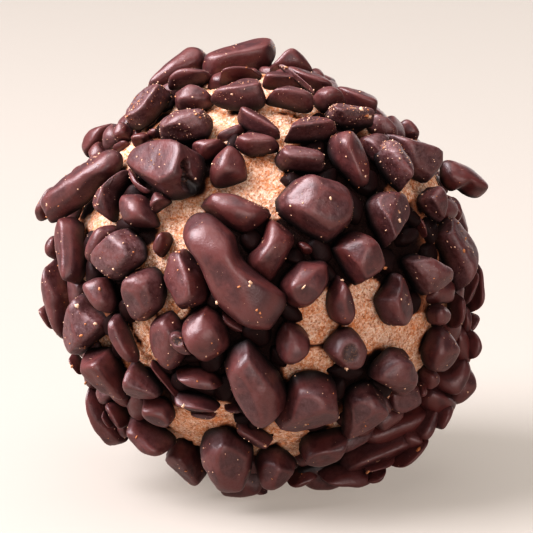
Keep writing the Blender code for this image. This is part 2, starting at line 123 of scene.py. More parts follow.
# The nibs of the front that have a node of their own in the frame.
NODE_PLANS = {
    "nib_club": Plan((-4.9, 16.2, -4.4, 16.9, -1, 18.4, 0, 18.6, 0.8, 18.2, 1.1, 17.3, 0.9, 16.5, 0.2, 15.8,
        -3.4, 15.1, -4.6, 15.4), 2.65, 0.0, dust=0.1, crest=(-4.0, 16.8, 0.4, 17.7), falls=(30, 34)),
    "nib_rod": Plan((-9.25, 14.6, -6.4, 17.5, -5.5, 17.8, -4.7, 17.4, -4.4, 16.7, -4.8, 15.8, -7.6, 14.2,
        -8.8, 13.9), 2.2, dust=0.15),
    "nib_dusty_block": Plan((-11.05, 12.4, -10.6, 13.3, -9.8, 14.2, -8.9, 14.6, -7.7, 14.5, -7.3, 14,
        -8, 12.4, -8.9, 11.3, -10, 11.1, -10.9, 11.4), 3.0, 0.2, Cut.BLOCK, 0.8,
        crest=(-9.6, 11.3, -7.7, 14.2), falls=(22, 50)),
    "nib_toe": Plan((-4, 13.8, -2.7, 14.3, -1.9, 15.1, -1.2, 15.4, -0.7, 15.3, 0, 14.6, 0.35, 13.6, 0.2, 13,
        -0.4, 12.7, -1.9, 12.6, -4, 13.3), 2.8, 0.3, dust=0.3, crest=(-3.4, 13.7, -0.2, 14.3),
        falls=(30, 36)),
    "nib_flat_dusty": Plan((-8.4, 11.1, -8.1, 11.7, -5.9, 12.8, -4.6, 12.6, -4.1, 12, -4.1, 10.7, -5, 10.1,
        -7.9, 10.1), 2.8, 0.25, Cut.BLOCK, 0.9),
    "nib_roof": Plan((2.05, 10.3, 2.6, 11.5, 4.1, 12.35, 4.9, 12.15, 6.1, 10.9, 5.8, 10.4, 2.2, 9.95), 2.8,
        0.2, dust=0.5, crest=(2.5, 10.7, 5.6, 11.2), falls=(32, 48)),
    "nib_high_slab": Plan((5.2, 12.4, 5.4, 13, 6.3, 13.2, 8.6, 12.8, 9.2, 12.3, 9.1, 11.7, 7, 11, 6, 11.1,
        5.3, 11.7), 2.8, 0.45, Cut.BLOCK, 0.95, crest=(5.8, 11.9, 8.9, 12.0), falls=(25, 50)),
    "nib_leaner": Plan((5.35, 9.6, 5.6, 10.5, 6.2, 10.85, 6.9, 10.9, 8, 10, 8.75, 8.4, 8.75, 7.4, 8.5, 6.7,
        7.9, 6.4, 7.3, 6.5, 6, 7.9, 5.5, 8.8), 3.2, 0.4, dust=0.2, crest=(6.9, 10.5, 6.8, 7.4),
        falls=(38, 34)),
    "nib_tooth": Plan((9.1, 9, 9.5, 9.8, 10, 10.2, 10.7, 10.2, 12.2, 8.2, 12.2, 7.4, 11.3, 6.1, 10.8, 6.2,
        10.1, 6.8, 9.1, 8.3), 3.0, 0.45, Cut.BLOCK, 0.85),
    "nib_spur": Plan((14.6, 8.3, 15.2, 8.6, 16.4, 8.25, 17.2, 7.7, 18.15, 6.4, 18, 5.9, 17.4, 5.7,
        16.6, 5.9, 16, 6.3, 15.3, 6.1, 14.7, 6.5, 14.4, 7.2), 2.4, dust=0.0, crest=(14.9, 7.9, 17.6, 6.8),
        falls=(34, 34)),
    "nib_long_left": Plan((-17.7, 4.9, -16.9, 6.6, -16, 7.5, -13, 9.3, -12.2, 9.5, -11.5, 9.2, -11.2, 8.6,
        -11.25, 7.8, -11.9, 7, -12.7, 6.6, -14.1, 5.2, -16.9, 3.7, -17.4, 3.9), 3.0, 0.45, dust=0.3,
        crest=(-17.0, 5.9, -12.2, 8.9), falls=(40, 22)),
    "nib_wedge": Plan((-10.85, 8.8, -10.6, 9.4, -10, 9.8, -8.3, 10.05, -6.2, 9.8, -5, 9.2, -4.7, 8.6,
        -4.65, 7.8, -5.1, 6.1, -5.8, 5.6, -6.9, 5.4, -7.6, 5.6, -10.6, 8.1), 4.2, 0.4, Cut.RIDGE, 0.35,
        crest=(-6.2, 9.8, -6.4, 5.5), falls=(26, 62),
        pits=((-5.9, 8.2, 0.5, 0.8), (-5.75, 7.5, 0.6, 1.0), (-5.6, 6.8, 0.65, 1.0), (-5.3, 6.2, 0.5, 0.8))),
    "nib_curl": Plan((-13.7, 5.2, -13.6, 5.8, -12.5, 6.8, -10.6, 7.7, -10.4, 7.4, -11.4, 6.7, -11.7, 6.2,
        -11.7, 4.5, -11.9, 3.7, -13.4, 4.7), 2.8, dust=0.4, crest=(-11.5, 7.2, -12.3, 4.4), falls=(40, 28)),
    "nib_left_edge": Plan((-16.95, 2, -16.8, 2.9, -16.4, 3.6, -15.9, 4, -15, 3.9, -14.4, 3, -14.2, 0.5,
        -14.3, -0.6, -14.7, -1.4, -15.2, -1.5, -15.8, -1.05, -16.3, -0.3), 3.0, 0.1, dust=0.2,
        crest=(-14.8, 3.0, -14.9, -0.6), falls=(40, 26)),
    "nib_left_tall": Plan((-17.1, 0.3, -17.95, -2, -16.9, -5, -15.9, -6, -15.4, -5.4, -15.1, -3.5,
        -15.2, -1.8, -16.6, 0.5), 2.8, dust=0.3),
    "nib_disc": Plan((-13.8, 0.6, -13.6, 1.3, -13, 2, -11.5, 2.95, -10.9, 3.05, -9.6, 1.9, -9.3, 1.1,
        -9.4, 0.4, -11.3, -0.9, -12, -1.05, -12.7, -0.8, -13.7, 0.2), 2.6, 0.45, Cut.PLATE, 0.9),
    "nib_low_disc": Plan((-11.1, -0.9, -10.6, -0.4, -9.1, -0.05, -8.4, -0.3, -7.9, -0.9, -7.7, -1.9,
        -7.8, -2.9, -8.2, -3.5, -9.6, -4.3, -10.3, -4.3, -10.8, -3.9, -11.3, -2.4), 3.0, 0.2, Cut.BLOCK,
        0.55),
    "nib_tall_pebble": Plan((-7.85, -0.7, -7.4, 0.8, -7, 1.2, -6.4, 1.4, -5.9, 1.2, -4.6, -0.5, -4.35, -2,
        -4.5, -2.7, -5, -3.1, -6.2, -3.4, -6.7, -3.2, -7.8, -1.2), 3.2, dust=0.35,
        crest=(-5.9, 1.1, -5.8, -3.2), falls=(34, 46)),
    "nib_boot": Plan((-6.35, 2.6, -6.2, 3.3, -5.8, 3.9, -5.1, 4.3, -4.4, 4.3, -3.7, 3.95, -2.4, 2.8,
        -2.05, 2.1, -1.95, 1.3, -1, -0.05, 1.8, -2.2, 2, -2.8, 1.9, -3.4, 1, -4.8, 0.4, -5.2, -1.2, -4.9,
        -2.7, -3.9, -3.9, -2.5, -5.1, 0.3, -6.1, 1.7), 4.2, 0.7, dust=0.2, crest=(-5.2, 3.4, 0.7, -2.1),
        falls=(24, 34)),
    "nib_collar": Plan((-4.75, 5.1, -4.5, 5.5, -3.9, 5.8, -2.3, 5.8, 0.2, 4.8, 0.55, 4.4, 0.55, 4, -1, 2.8,
        -2.3, 3, -4.7, 4.7), 3.0, 0.1, dust=0.2, crest=(-4.3, 5.1, -1.0, 3.7), falls=(26, 50)),
    "nib_hourglass": Plan((0.5, 3.5, 0.9, 3.75, 2.4, 2.7, 2.6, 2.2, 2.45, 1.6, 0.9, -1, 0.2, -0.95,
        -0.9, -0.2, -1.2, 0.3, -1.1, 0.9, 0, 1.8), 3.0, dust=0.25, crest=(-0.8, 0.8, 1.9, 2.7),
        falls=(34, 40)),
    "nib_pentagon": Plan((1.2, 5, 1.4, 5.6, 2.5, 6.9, 3.1, 7.3, 3.8, 7.45, 6.5, 6.6, 7.35, 5.4, 7.2, 3.7,
        6.1, 2.5, 5.4, 2.05, 4.6, 2.1, 1.6, 4), 4.2, 0.3, Cut.BLOCK, 0.4, crest=(1.2, 5.0, 3.9, 7.5),
        falls=(24, 16)),
    "nib_box": Plan((5.75, 1.1, 5.9, 1.7, 6.4, 2.3, 7.6, 2.88, 8.2, 2.85, 8.8, 2.5, 9.95, 0.4, 9.7, -0.2,
        7.9, -1.35, 7.3, -1.2), 3.6, 0.2, Cut.BLOCK, 0.15, crest=(6.2, 0.7, 8.7, 2.3), falls=(42, 16)),
    "nib_arrow": Plan((8.35, 4.7, 9.4, 6, 11.2, 5.95, 11.8, 5.4, 11.85, 4, 10.1, 1.75, 9.6, 1.7), 3.0, 0.1,
        Cut.BLOCK, 0.5, crest=(9.3, 2.4, 9.2, 5.4), falls=(44, 18)),
    "nib_right_edge": Plan((13.8, 2.3, 14.2, 3, 15.3, 4, 16.8, 2.7, 17.5, 1.2, 17.1, -0.5, 16, -2.1,
        15.6, -1.7, 14.8, 0.5), 3.2, 0.1, Cut.BLOCK, 0.6, crest=(14.4, 1.6, 16.8, -0.6), falls=(20, 40)),
    "nib_right_pebble": Plan((10.1, -1.4, 10.35, -0.7, 10.9, -0.55, 11.9, -1.7, 12.3, -3.2, 12.1, -4,
        11.7, -4.6, 11.1, -4.9, 10.4, -4.85, 9.8, -4.4, 9, -3, 9.1, -2.4), 3.2, 0.1, dust=0.3,
        crest=(10.0, -1.6, 10.9, -4.5), falls=(20, 34)),
    "nib_right_slab": Plan((11.15, 0.2, 11.5, 0.7, 12.2, 0.95, 13.1, 0.95, 14.9, 0.2, 15.35, -0.5,
        15.3, -1.1, 13.6, -2.3, 13, -2.2, 12.4, -1.8), 3.2, 0.1, Cut.BLOCK, 0.7,
        crest=(12.0, -1.4, 15.0, -0.8), falls=(18, 40)),
    "nib_lid": Plan((8.6, -8.3, 8.8, -7.8, 9.8, -6.8, 10.4, -6.55, 11.2, -6.7, 11.9, -7.1, 12.6, -8.5,
        12.2, -9.9, 11.8, -10.2, 11, -10.15, 8.8, -8.9), 2.8, 0.6, Cut.BLOCK, 0.5,
        crest=(8.9, -8.3, 12.2, -9.5), falls=(16, 52)),
    "nib_right_low": Plan((12.75, -6.7, 13.4, -5.3, 13.9, -4.9, 14.7, -4.9, 15.75, -6.1, 15.85, -6.9,
        15.65, -7.7, 15.2, -8.3, 14.6, -8.5, 13.2, -8.05), 3.0, 0.2, dust=0.15,
        crest=(13.1, -7.4, 15.5, -6.2), falls=(34, 30)),
    "nib_trapezoid": Plan((2.2, -9.2, 2.8, -8.6, 3.8, -8.45, 4.8, -8.6, 5.6, -9, 6.1, -9.7, 6.4, -11.6,
        6.2, -12.2, 5.6, -12.6, 3, -13.35, 2.1, -13.3, 1.5, -13, 1.15, -12.4), 4.0, 0.1, Cut.BLOCK, 0.35,
        crest=(1.8, -11.9, 6.2, -11.4), falls=(14, 30)),
    "nib_plough": Plan((6.5, -10.6, 6.7, -10, 7.2, -9.6, 8, -9.35, 8.9, -9.5, 10.25, -10.8, 10.15, -11.5,
        9.8, -12.1, 7.9, -13.6, 7.2, -13.9, 6.85, -13.7), 3.4, 0.1, Cut.BLOCK, 0.5,
        crest=(6.8, -11.0, 10.0, -11.2), falls=(34, 20)),
    "nib_oblong": Plan((-3, -8.4, -2.85, -7.5, -2.3, -6.6, -1.2, -5.9, -0.7, -6.2, 1.1, -8.5, 1.8, -10,
        1.95, -11, 1.75, -11.8, 0.6, -12.8, 0, -13.05, -0.5, -12.95, -1, -12.5, -2.4, -10.2), 3.8, 0.35,
        Cut.BLOCK, 0.35, crest=(-0.8, -12.4, -2.2, -7.0), falls=(40, 16)),
    "nib_knob": Plan((-6.2, -4.4, -4.6, -3.25, -4.1, -3.3, -3.1, -4.2, -2.6, -5.8, -2.7, -6.4, -3.2, -6.95,
        -4.4, -7.7, -4.9, -7.7, -5.4, -7.3, -6.4, -5.4), 3.4, 0.3, dust=0.2, crest=(-5.7, -6.4, -4.5, -3.5),
        falls=(26, 34)),
    "nib_fin": Plan((-8.95, -4.8, -8.6, -4.2, -7.5, -3.55, -7, -3.7, -6.1, -5, -5.9, -6.2, -6.2, -7.3,
        -7.1, -8.2, -7.7, -8.3, -8.3, -7.9, -8.8, -7.2, -9.05, -6.4), 2.8, dust=0.35,
        crest=(-7.3, -3.8, -6.9, -7.8), falls=(20, 46)),
    "nib_shoulder": Plan((-14.7, -7.6, -14.5, -7.15, -12.3, -6.6, -11.8, -6.8, -11.4, -7.5, -10.8, -10.3,
        -11.2, -10.8, -12.6, -10.5, -13.3, -10, -14.4, -8.5), 3.2, 0.1, Cut.BLOCK, 0.2,
        crest=(-14.2, -7.9, -11.7, -8.2), falls=(34, 24)),
    "nib_left_dusty": Plan((-15.1, -2.5, -14.6, -2.1, -14.1, -2.4, -13.6, -3.2, -12.3, -4.2, -12.35, -5,
        -14.8, -7.1, -15.4, -7.15, -15.85, -6.7, -16.05, -5.9, -15.8, -4), 3.0, 0.0, Cut.BLOCK, 0.8,
        crest=(-14.9, -2.8, -14.3, -6.6), falls=(20, 30)),
    "nib_left_low": Plan((-14.2, -10.3, -13.8, -9.4, -13, -9.8, -12.2, -10.8, -10.9, -13.4, -11, -14.1,
        -12.2, -14.5, -12.7, -14.3, -14, -12.2, -14.25, -11.3), 3.0, -0.2, dust=0.2),
    "nib_heel": Plan((-5.1, -15, -4.5, -13.6, -3.3, -12.9, -2.5, -13, -0.9, -14.4, -0.7, -15.2, -0.8, -16.2,
        -1.3, -17.7, -1.9, -18.1, -2.7, -18.3, -3.4, -18.1, -3.9, -17.6, -4.8, -16), 3.6, 0.2, Cut.BLOCK,
        0.35, crest=(-3.3, -17.8, -4.0, -13.5), falls=(34, 20)),
    "nib_long_low": Plan((6.3, -15.6, 6.5, -14.9, 7.2, -14.3, 10.6, -12.9, 11.4, -12.8, 12, -13.2,
        12.25, -13.9, 12, -14.6, 10, -15.9, 7.5, -16.75, 6.45, -16.1), 3.2, 0.1, dust=0.3,
        crest=(6.8, -15.6, 11.7, -13.9), falls=(26, 34)),
}

# The smaller nibs of the front, from the top left to the bottom right.
SMALL_PLANS = (
    Plan((-7.6, 15, -7, 15.7, -5.8, 16, -4.6, 15.9, -4, 15.3, -4.6, 14.7, -7.2, 14.3), 2.2, 0.3),
    Plan((-7.05, 13.4, -6.7, 14.2, -5.8, 14.65, -4.8, 14.5, -4, 13.8, -3.9, 13, -4.8, 12.4, -6.5, 12.5),
        2.6, dust=0.4),
    Plan((-3.45, 15.2, -3.2, 15.9, -2.6, 16.25, -1.2, 16.1, -0.3, 15.6, -0.2, 15.1, -3, 14.6), 2.4,
        dust=0.1),
    Plan((0.6, 15.9, 1.9, 17.3, 2.4, 17.6, 2.9, 17.4, 4.05, 15.9, 3.2, 15.4, 1.5, 15.4), 2.6, dust=0.1,
        crest=(2.3, 17.3, 2.1, 15.6)),
    Plan((1.9, 16, 3, 16.1, 5, 15.4, 5.8, 14.1, 4.9, 13.7, 3.4, 14, 2.2, 14.9), 2.2, 0.3, dust=0.15,
        crest=(2.6, 15.6, 5.3, 14.7)),
    Plan((0.1, 14.8, 0.7, 15.75, 1.3, 15.9, 2.1, 15.6, 3.3, 14.7, 2.8, 14.35, 0.4, 14.3), 2.0, 0.5,
        dust=0.2, crest=(0.5, 14.9, 2.9, 14.8)),
    Plan((1.4, 16.1, 1.7, 16.35, 2.7, 15.5, 3.6, 14.85, 4.25, 14.15, 4.05, 13.95, 2.3, 15.3), 0.7, 1.7,
        Cut.SPLINTER, 0.6),
    Plan((0.4, 13.6, 2, 14.6, 3, 14.55, 3.8, 14, 4.15, 13.3, 3.6, 12.4, 0.7, 13.2), 2.8, 0.35, dust=0.5,
        crest=(1.0, 13.5, 3.6, 13.5), falls=(24, 40)),
    Plan((4.1, 13.9, 4.7, 14.5, 5.5, 14.45, 6.9, 13.6, 6.4, 13.1, 5, 12.2, 4.1, 13.3), 2.6, 0.4, dust=0.4,
        crest=(4.7, 12.8, 6.0, 13.9), falls=(18, 40)),
    Plan((5.9, 14, 6.5, 14.45, 8.8, 14, 9.3, 13.4, 9.4, 12.7, 9, 11.9, 7.8, 12, 6.6, 12.8), 2.4, 0.1,
        dust=0.1, crest=(6.6, 14.1, 8.8, 13.5)),
    Plan((8.7, 12.3, 9.4, 12.35, 10, 11.95, 11, 10.7, 10.4, 10.2, 9.2, 10.3, 8.5, 11.1), 2.0, dust=0.7),
    Plan((10.8, 11.1, 11, 11.6, 11.6, 11.9, 12.2, 11.7, 12.75, 10.4, 12, 10.1, 11, 10.3), 1.8, dust=0.1),
    Plan((1.15, 8.6, 1.3, 9.3, 1.8, 9.75, 4.5, 9.3, 5, 8.9, 5.2, 8.2, 4.6, 7.5, 2.2, 7.5, 1.5, 7.8), 2.8,
        0.1, Cut.BLOCK, 0.6, crest=(1.7, 8.6, 4.8, 8.5), falls=(20, 34)),
    Plan((7.8, 10, 8.4, 10.5, 9.4, 10.65, 10.2, 10.5, 10.2, 9.6, 9.6, 8.8, 8.9, 8.3), 2.0, 0.0, Cut.PLATE,
        0.7),
    Plan((9.8, 10.4, 10.5, 10.6, 14.2, 9.6, 14.65, 8.9, 14.5, 8.1, 13.4, 6.9, 12.4, 7, 11.4, 7.6), 3.2, 0.0,
        Cut.BLOCK, 0.75),
    Plan((12.4, 5.2, 13.8, 6.6, 14.4, 6.5, 14.85, 6, 14.7, 3.8, 14.3, 3.6, 13.2, 4.2), 2.4, 0.3, Cut.BLOCK,
        0.6),
    Plan((14.6, 5.6, 15.2, 5.7, 15.7, 5.4, 16, 4.6, 16, 3.7, 15.4, 3.5, 14.6, 4.2), 2.0, -0.3),
    Plan((12.1, 4.2, 12.5, 4.1, 13.3, 3.1, 13.4, 2.6, 13.1, 2.3, 12.7, 2.4, 12.1, 3.5), 1.4, -0.3),
    Plan((2.75, 1.85, 3.2, 2.05, 3.7, 1.9, 4.05, 1.45, 3.95, 1.05, 3.4, 1, 3, 1.35), 1.4, -0.1, dust=0.0),
    Plan((1.4, -1.5, 2.6, 0.1, 3.3, 0.45, 4.9, 0.4, 5.3, -0.1, 5.2, -1.6, 3.8, -3.2, 2.3, -3.1), 3.0, 0.3,
        Cut.BLOCK, 0.2, crest=(2.0, -1.7, 5.0, -0.7), falls=(30, 24)),
    Plan((-3.2, -3.4, -2.4, -4, -1.2, -4.7, -0.9, -5.2, -1.8, -5.35, -2.5, -5.1, -3.1, -4.4), 1.6, -0.5),
    Plan((5.9, -0.85, 6.3, -0.8, 7.2, -2.2, 7.6, -3.7, 7.1, -4.7, 6, -4.5, 5.4, -3.9, 5.2, -2.6), 2.8, 0.0,
        dust=0.25, crest=(6.1, -1.0, 6.2, -4.2), falls=(26, 22)),
    Plan((13.2, -3.5, 13.6, -3.1, 14.8, -3.2, 15.2, -3.8, 14.9, -4.7, 13.7, -4.6, 13.3, -4.1), 2.0, 0.5,
        dust=0.3),
    Plan((14.9, -2.9, 15.5, -2.2, 16, -2.2, 16.5, -3.9, 16, -4.9, 15.4, -5, 14.9, -4.6), 2.4, 0.1,
        dust=0.2),
    Plan((16.9, -0.2, 17.3, -0.4, 17.5, -1.2, 17.1, -2.7, 16.6, -3.05, 16.1, -3, 15.9, -2.2), 1.8, -0.1),
    Plan((16.8, 0.2, 17.6, 0.3, 17.95, -0.6, 18, -2.8, 17.6, -3.5, 16.9, -3.7, 16.4, -3, 16.3, -1.2), 3.0,
        behind=True),
    Plan((16.3, -4.4, 16.9, -3.8, 17.6, -3.9, 17.7, -4.5, 17.4, -5.1, 16.7, -5.3, 16.2, -5), 2.0,
        behind=True),
    Plan((15.9, -5.8, 16.4, -5.1, 17.1, -5.2, 17.85, -6.2, 17.7, -6.8, 16.6, -7.6, 16, -7), 2.4, dust=0.2),
    Plan((13.5, -9, 13.6, -8.4, 14.5, -8.3, 16.1, -7, 16.8, -8.1, 15.8, -10.2, 15.2, -10.6, 14, -10.1), 2.8,
        -0.1, dust=0.2),
    Plan((15.2, -8.6, 16, -8, 16.9, -8.1, 17.4, -8.7, 17.3, -10.2, 16.2, -11.2, 15.3, -11.3, 14.8, -10.2),
        2.8, behind=True),
    Plan((12.7, -9.9, 13.4, -9.5, 15.6, -10.8, 15.4, -11.7, 14.5, -12.2, 13.4, -11.7, 12.7, -10.9), 2.2,
        -0.7, dust=0.0),
    Plan((8.3, -12.6, 12.4, -11, 13.5, -11.3, 13.3, -12.8, 12, -13.8, 9.5, -14.4, 8, -13.9), 2.4, -0.8,
        dust=0.0),
    Plan((14.9, -5, 16.1, -4.7, 16.7, -6, 16.8, -7.4, 16.1, -8.2, 15, -7), 2.2, -0.5, dust=0.0),
    Plan((15.6, -3.6, 16.6, -3.2, 16.9, -4.6, 16.6, -5.6, 15.7, -5.4), 2.2, -0.5, dust=0.0),
    Plan((10, -10.4, 10.3, -9.7, 12.5, -9.5, 12.95, -10.8, 12.6, -11.3, 11.3, -11.9, 10.5, -11.8,
        10.1, -11.3), 1.8, -0.1, Cut.PLATE, 0.45),
    Plan((4.95, -6.3, 5.9, -5.2, 7.3, -5.1, 8.45, -6.3, 8.5, -7, 7.8, -8.2, 6.5, -8.25, 5.3, -7.1), 2.8,
        0.1, Cut.PEBBLE, 0.5, pits=((7.4, -7.1, 0.8, 0.22),)),
    Plan((1.1, -5.9, 1.6, -4.65, 2.1, -4.4, 3.6, -5.35, 3.9, -6.5, 2.7, -7.8, 1.7, -7.6), 2.8, 0.0,
        dust=0.3),
    Plan((-7.45, -5.9, -7.2, -5.35, -6.3, -5.4, -5.6, -6.8, -5.7, -7.2, -6.3, -7.15, -7.3, -6.4), 1.2, 1.8,
        Cut.BLOCK, 0.3, pits=((-6.55, -6.0, 0.45, 0.25),)),
    Plan((-12.3, -4.2, -11.75, -3.9, -11.1, -4.1, -10, -6.6, -10, -7.4, -10.5, -7.8, -11.3, -7.4,
        -12.35, -5.7), 2.2, 0.5, Cut.SMOOTH, 0.2),
    Plan((-8.85, 1.8, -8.3, 2.6, -7.7, 2.85, -7.3, 2.6, -7.15, 2, -7.9, 0.9, -8.4, 0.85), 1.8, 0.0,
        dust=0.0),
    Plan((-14.25, 1.7, -13.4, 3, -12.8, 3.35, -12, 3.25, -11.4, 2.6, -12, 1.2, -13.2, 0.2, -14, 0.3), 2.4,
        -0.2, dust=0.3),
    Plan((-14.45, -1.6, -14.1, -1.1, -12.6, -0.8, -12, -1.2, -11.5, -2.6, -11.8, -3.3, -12.4, -3.7,
        -13.2, -3.6, -13.9, -3.1), 2.8, 0.1, dust=0.4),
    Plan((-17.5, 1.5, -17.3, 2.1, -16.8, 2.5, -16.2, 2.2, -16.2, 1, -16.8, 0.6, -17.3, 0.9), 1.6,
        behind=True),
    Plan((-17.5, -3, -18, -3.25, -18.15, -3.8, -17.9, -4.3, -16.9, -5.1, -16.5, -4.3, -16.9, -3.3), 2.0,
        behind=True),
    Plan((-15.6, -7.1, -14.9, -7.1, -14.4, -7.6, -14.3, -8.6, -14.7, -8.8, -15.2, -8.4, -15.5, -7.8), 1.8,
        -0.2),
    Plan((-11.3, -9.4, -10.7, -8, -10.3, -7.75, -9.8, -7.8, -8, -10.1, -10.2, -10.75, -10.8, -10.4), 2.8,
        0.3, Cut.BLOCK, 0.5, crest=(-10.9, -9.7, -8.7, -9.0), falls=(14, 42)),
    Plan((-9.05, -7.7, -8.6, -7.5, -7.5, -8.7, -6.6, -10, -6.7, -10.4, -7.1, -10.4, -8.85, -8.4), 1.8, 0.1,
        dust=0.1, crest=(-8.8, -7.8, -6.9, -10.1)),
    Plan((-6.95, -8.5, -5.3, -7.95, -3.8, -8.4, -3.2, -9.5, -3.5, -9.85, -5.9, -9.6, -6.9, -8.9), 2.4, 0.0,
        dust=0.2),
    Plan((-7, -10.6, -6.6, -10.15, -4.2, -10.35, -3.35, -11.25, -3.7, -11.7, -5.6, -11.75, -6.9, -11.1),
        2.4, 0.2, dust=0.15, crest=(-6.6, -10.7, -3.8, -11.1)),
    Plan((-5.9, -11.6, -5.3, -12.25, -4.6, -12.45, -3.9, -12.2, -3.5, -11.6, -4.6, -11.2), 1.3, -0.4,
        Cut.PLATE),
    Plan((-3.1, -11.3, -2.7, -10.9, -1.9, -10.8, -1.4, -11.3, -1.6, -11.8, -2.3, -11.8, -2.9, -11.6), 1.4,
        -0.3),
    Plan((3, -14.8, 3.6, -13.6, 6.8, -13.1, 6.85, -13.6, 6.1, -15.7, 4.8, -16.25, 3.5, -15.8), 3.2, 0.1,
        Cut.BLOCK, 0.25, crest=(3.3, -14.2, 6.5, -13.8), falls=(46, 20)),
    Plan((1.8, -17.2, 3.3, -15.9, 4.1, -16.1, 4.6, -16.6, 4.4, -17.05, 3.4, -17.75, 2.7, -17.75), 2.4, 0.0,
        dust=0.2),
    Plan((-0.1, -14.8, 1.1, -14.4, 1.8, -14.8, 2.75, -16, 2.7, -16.5, 1.1, -17.9, 0.5, -18, -0.1, -17.6,
        -0.5, -16.2), 3.2, 0.2, Cut.BLOCK, 0.4, crest=(0.9, -17.6, 1.2, -14.8), falls=(16, 30)),
    Plan((-1.1, -17.3, -0.5, -17, 0.1, -17.6, 0.5, -18.2, 0.2, -18.5, -0.5, -18.3, -1, -17.9), 1.6, 0.0,
        dust=0.4),
    Plan((-2.1, -13, -2, -12.6, -1.6, -12.3, 0.6, -13.7, 0.8, -14.1, -0.3, -14.7, -1.8, -13.6), 1.8, 0.0,
        dust=0.2, crest=(-1.9, -12.9, 0.2, -14.2)),
    Plan((-7.75, -15, -6.6, -13.9, -5.6, -14, -5, -14.8, -4.6, -16.8, -4.8, -17.4, -5.3, -17.7, -6, -17.5,
        -7.65, -15.6), 3.0, 0.0, Cut.BLOCK, 0.4, crest=(-7.2, -14.9, -5.0, -17.0), falls=(26, 30)),
    Plan((-10.8, -12.6, -10.4, -12.1, -9.6, -11.9, -7.3, -13.5, -7.1, -14.3, -7.6, -15, -9.5, -15.1,
        -10.8, -14.1), 3.4, 0.0, Cut.BLOCK, 0.35, crest=(-9.0, -14.9, -8.6, -12.5), falls=(14, 40)),
    Plan((-9.7, -10.9, -9.3, -10.5, -7.5, -10.6, -7, -11.9, -7.6, -12.9, -8.2, -13.05, -9.3, -12.3), 2.6,
        0.3, dust=0.1, crest=(-9.4, -11.5, -7.3, -11.4), falls=(40, 24)),
    Plan((-12.5, -10.9, -11.5, -10.8, -10.9, -11.5, -10.7, -12.3, -10.9, -12.9, -11.4, -13.05,
        -12.65, -11.8), 2.4, 0.3, dust=0.1, crest=(-12.1, -11.0, -11.3, -12.7)),
    Plan((-12.9, -11.9, -12.6, -11.8, -12.2, -12.4, -12.1, -12.9, -12.5, -12.9, -12.85, -12.5), 1.0, 1.9,
        Cut.SPLINTER),
    Plan((10.4, -15.8, 10.9, -14.9, 12, -14, 13, -13.7, 13.45, -14.2, 12, -16, 10.6, -16.2), 2.8, -0.2),
    Plan((11.9, -13.7, 11.9, -12.6, 13.3, -11, 14, -10.8, 14.5, -12.1, 14.2, -12.9, 13.2, -14, 12.6, -14.2),
        2.8, 0.1, dust=0.35),
    Plan((13.9, -10.9, 15.2, -11, 15.5, -11.7, 15.1, -12.5, 14.6, -13, 14, -13.2, 13.5, -12.2), 2.6,
        behind=True),
    Plan((4.4, -16.8, 5, -16.1, 6.3, -15.6, 7.8, -15.8, 9, -16.5, 9.1, -17.2, 8.2, -17.8, 7.2, -17.95,
        5.3, -17.4), 3.0, -0.5),
    Plan((8.4, -16.7, 9.2, -16.2, 10, -16, 10, -16.8, 9.4, -17.4, 8.6, -17.5), 2.0, -0.1),
    Plan((-14.6, 9.9, -14.1, 10.8, -12, 11.5, -11.6, 11.3, -12, 10.2, -12.8, 9.3, -13.9, 8.8, -14.4, 9.2),
        2.2, 0.0, dust=0.1),
    Plan((-12.1, 11, -11.6, 11.6, -10.9, 11.6, -10.5, 11, -10.6, 10.2, -11.4, 9.9, -12, 10.3), 1.8, 0.1),
    Plan((-10.6, 10.3, -10.2, 10.8, -9.5, 10.85, -9, 10.4, -9.2, 9.8, -10.2, 9.7), 1.4, 0.1, dust=0.0),
    Plan((-9.3, 10.8, -8.8, 11.15, -8.2, 11, -8.1, 10.6, -8.7, 10.35, -9.2, 10.5), 1.0),
    Plan((-12.1, 9.6, -11.6, 10.1, -10.8, 10.1, -10.4, 9.7, -10.9, 9.3, -11.7, 9.3), 1.2, -0.3),
    Plan((-18.35, 4.1, -17.7, 5.6, -17.2, 6.3, -16.7, 6.4, -16.6, 5.2, -17.2, 4, -18, 3.75), 1.6, -0.2),
    Plan((-10.75, 7.9, -10.2, 7.4, -9.6, 6.45, -8.9, 6.1, -9.4, 5.85, -10.1, 6.2, -10.7, 7.3), 0.8, 0.6,
        Cut.SPLINTER, 0.1),
    Plan((-11.5, 5.1, -11.35, 5.65, -10.9, 5.88, -9.3, 5.6, -8.3, 3.6, -8.7, 3.15, -10.4, 3.2, -11, 3.6),
        2.8, 0.1, dust=0.35, crest=(-10.7, 5.6, -10.0, 3.4), falls=(30, 22)),
    Plan((-9.05, 5.2, -8.95, 5.8, -8.4, 6.15, -7.3, 5.3, -7.4, 4.95, -8.7, 4.3, -9, 4.7), 1.8, 0.6,
        Cut.BLOCK, 0.4, crest=(-8.9, 4.9, -7.5, 5.0), falls=(12, 46)),
    Plan((-5.7, 9.8, -4.9, 10.25, -3.3, 10.2, -2.9, 9.9, -3.3, 9.1, -4.6, 8.4, -5.2, 8.9), 2.0, 0.0,
        dust=0.1),
    Plan((-4.15, 7.6, -3.8, 8.8, -2.8, 9.7, -2.3, 9.6, -1.4, 8.7, -1.2, 7.3, -1.5, 6.9, -3.2, 6.4, -4, 6.6),
        2.8, 0.1, dust=0.2, crest=(-2.7, 9.4, -3.4, 6.7), falls=(36, 34)),
    Plan((-2, 12.2, -1.6, 12.75, -1, 12.9, 0.2, 12.3, 1.5, 10.6, 1.3, 10.2, 0.6, 10.2, -1.6, 11.3), 2.4,
        0.1, dust=0.3, crest=(-1.4, 12.2, 0.9, 10.6)),
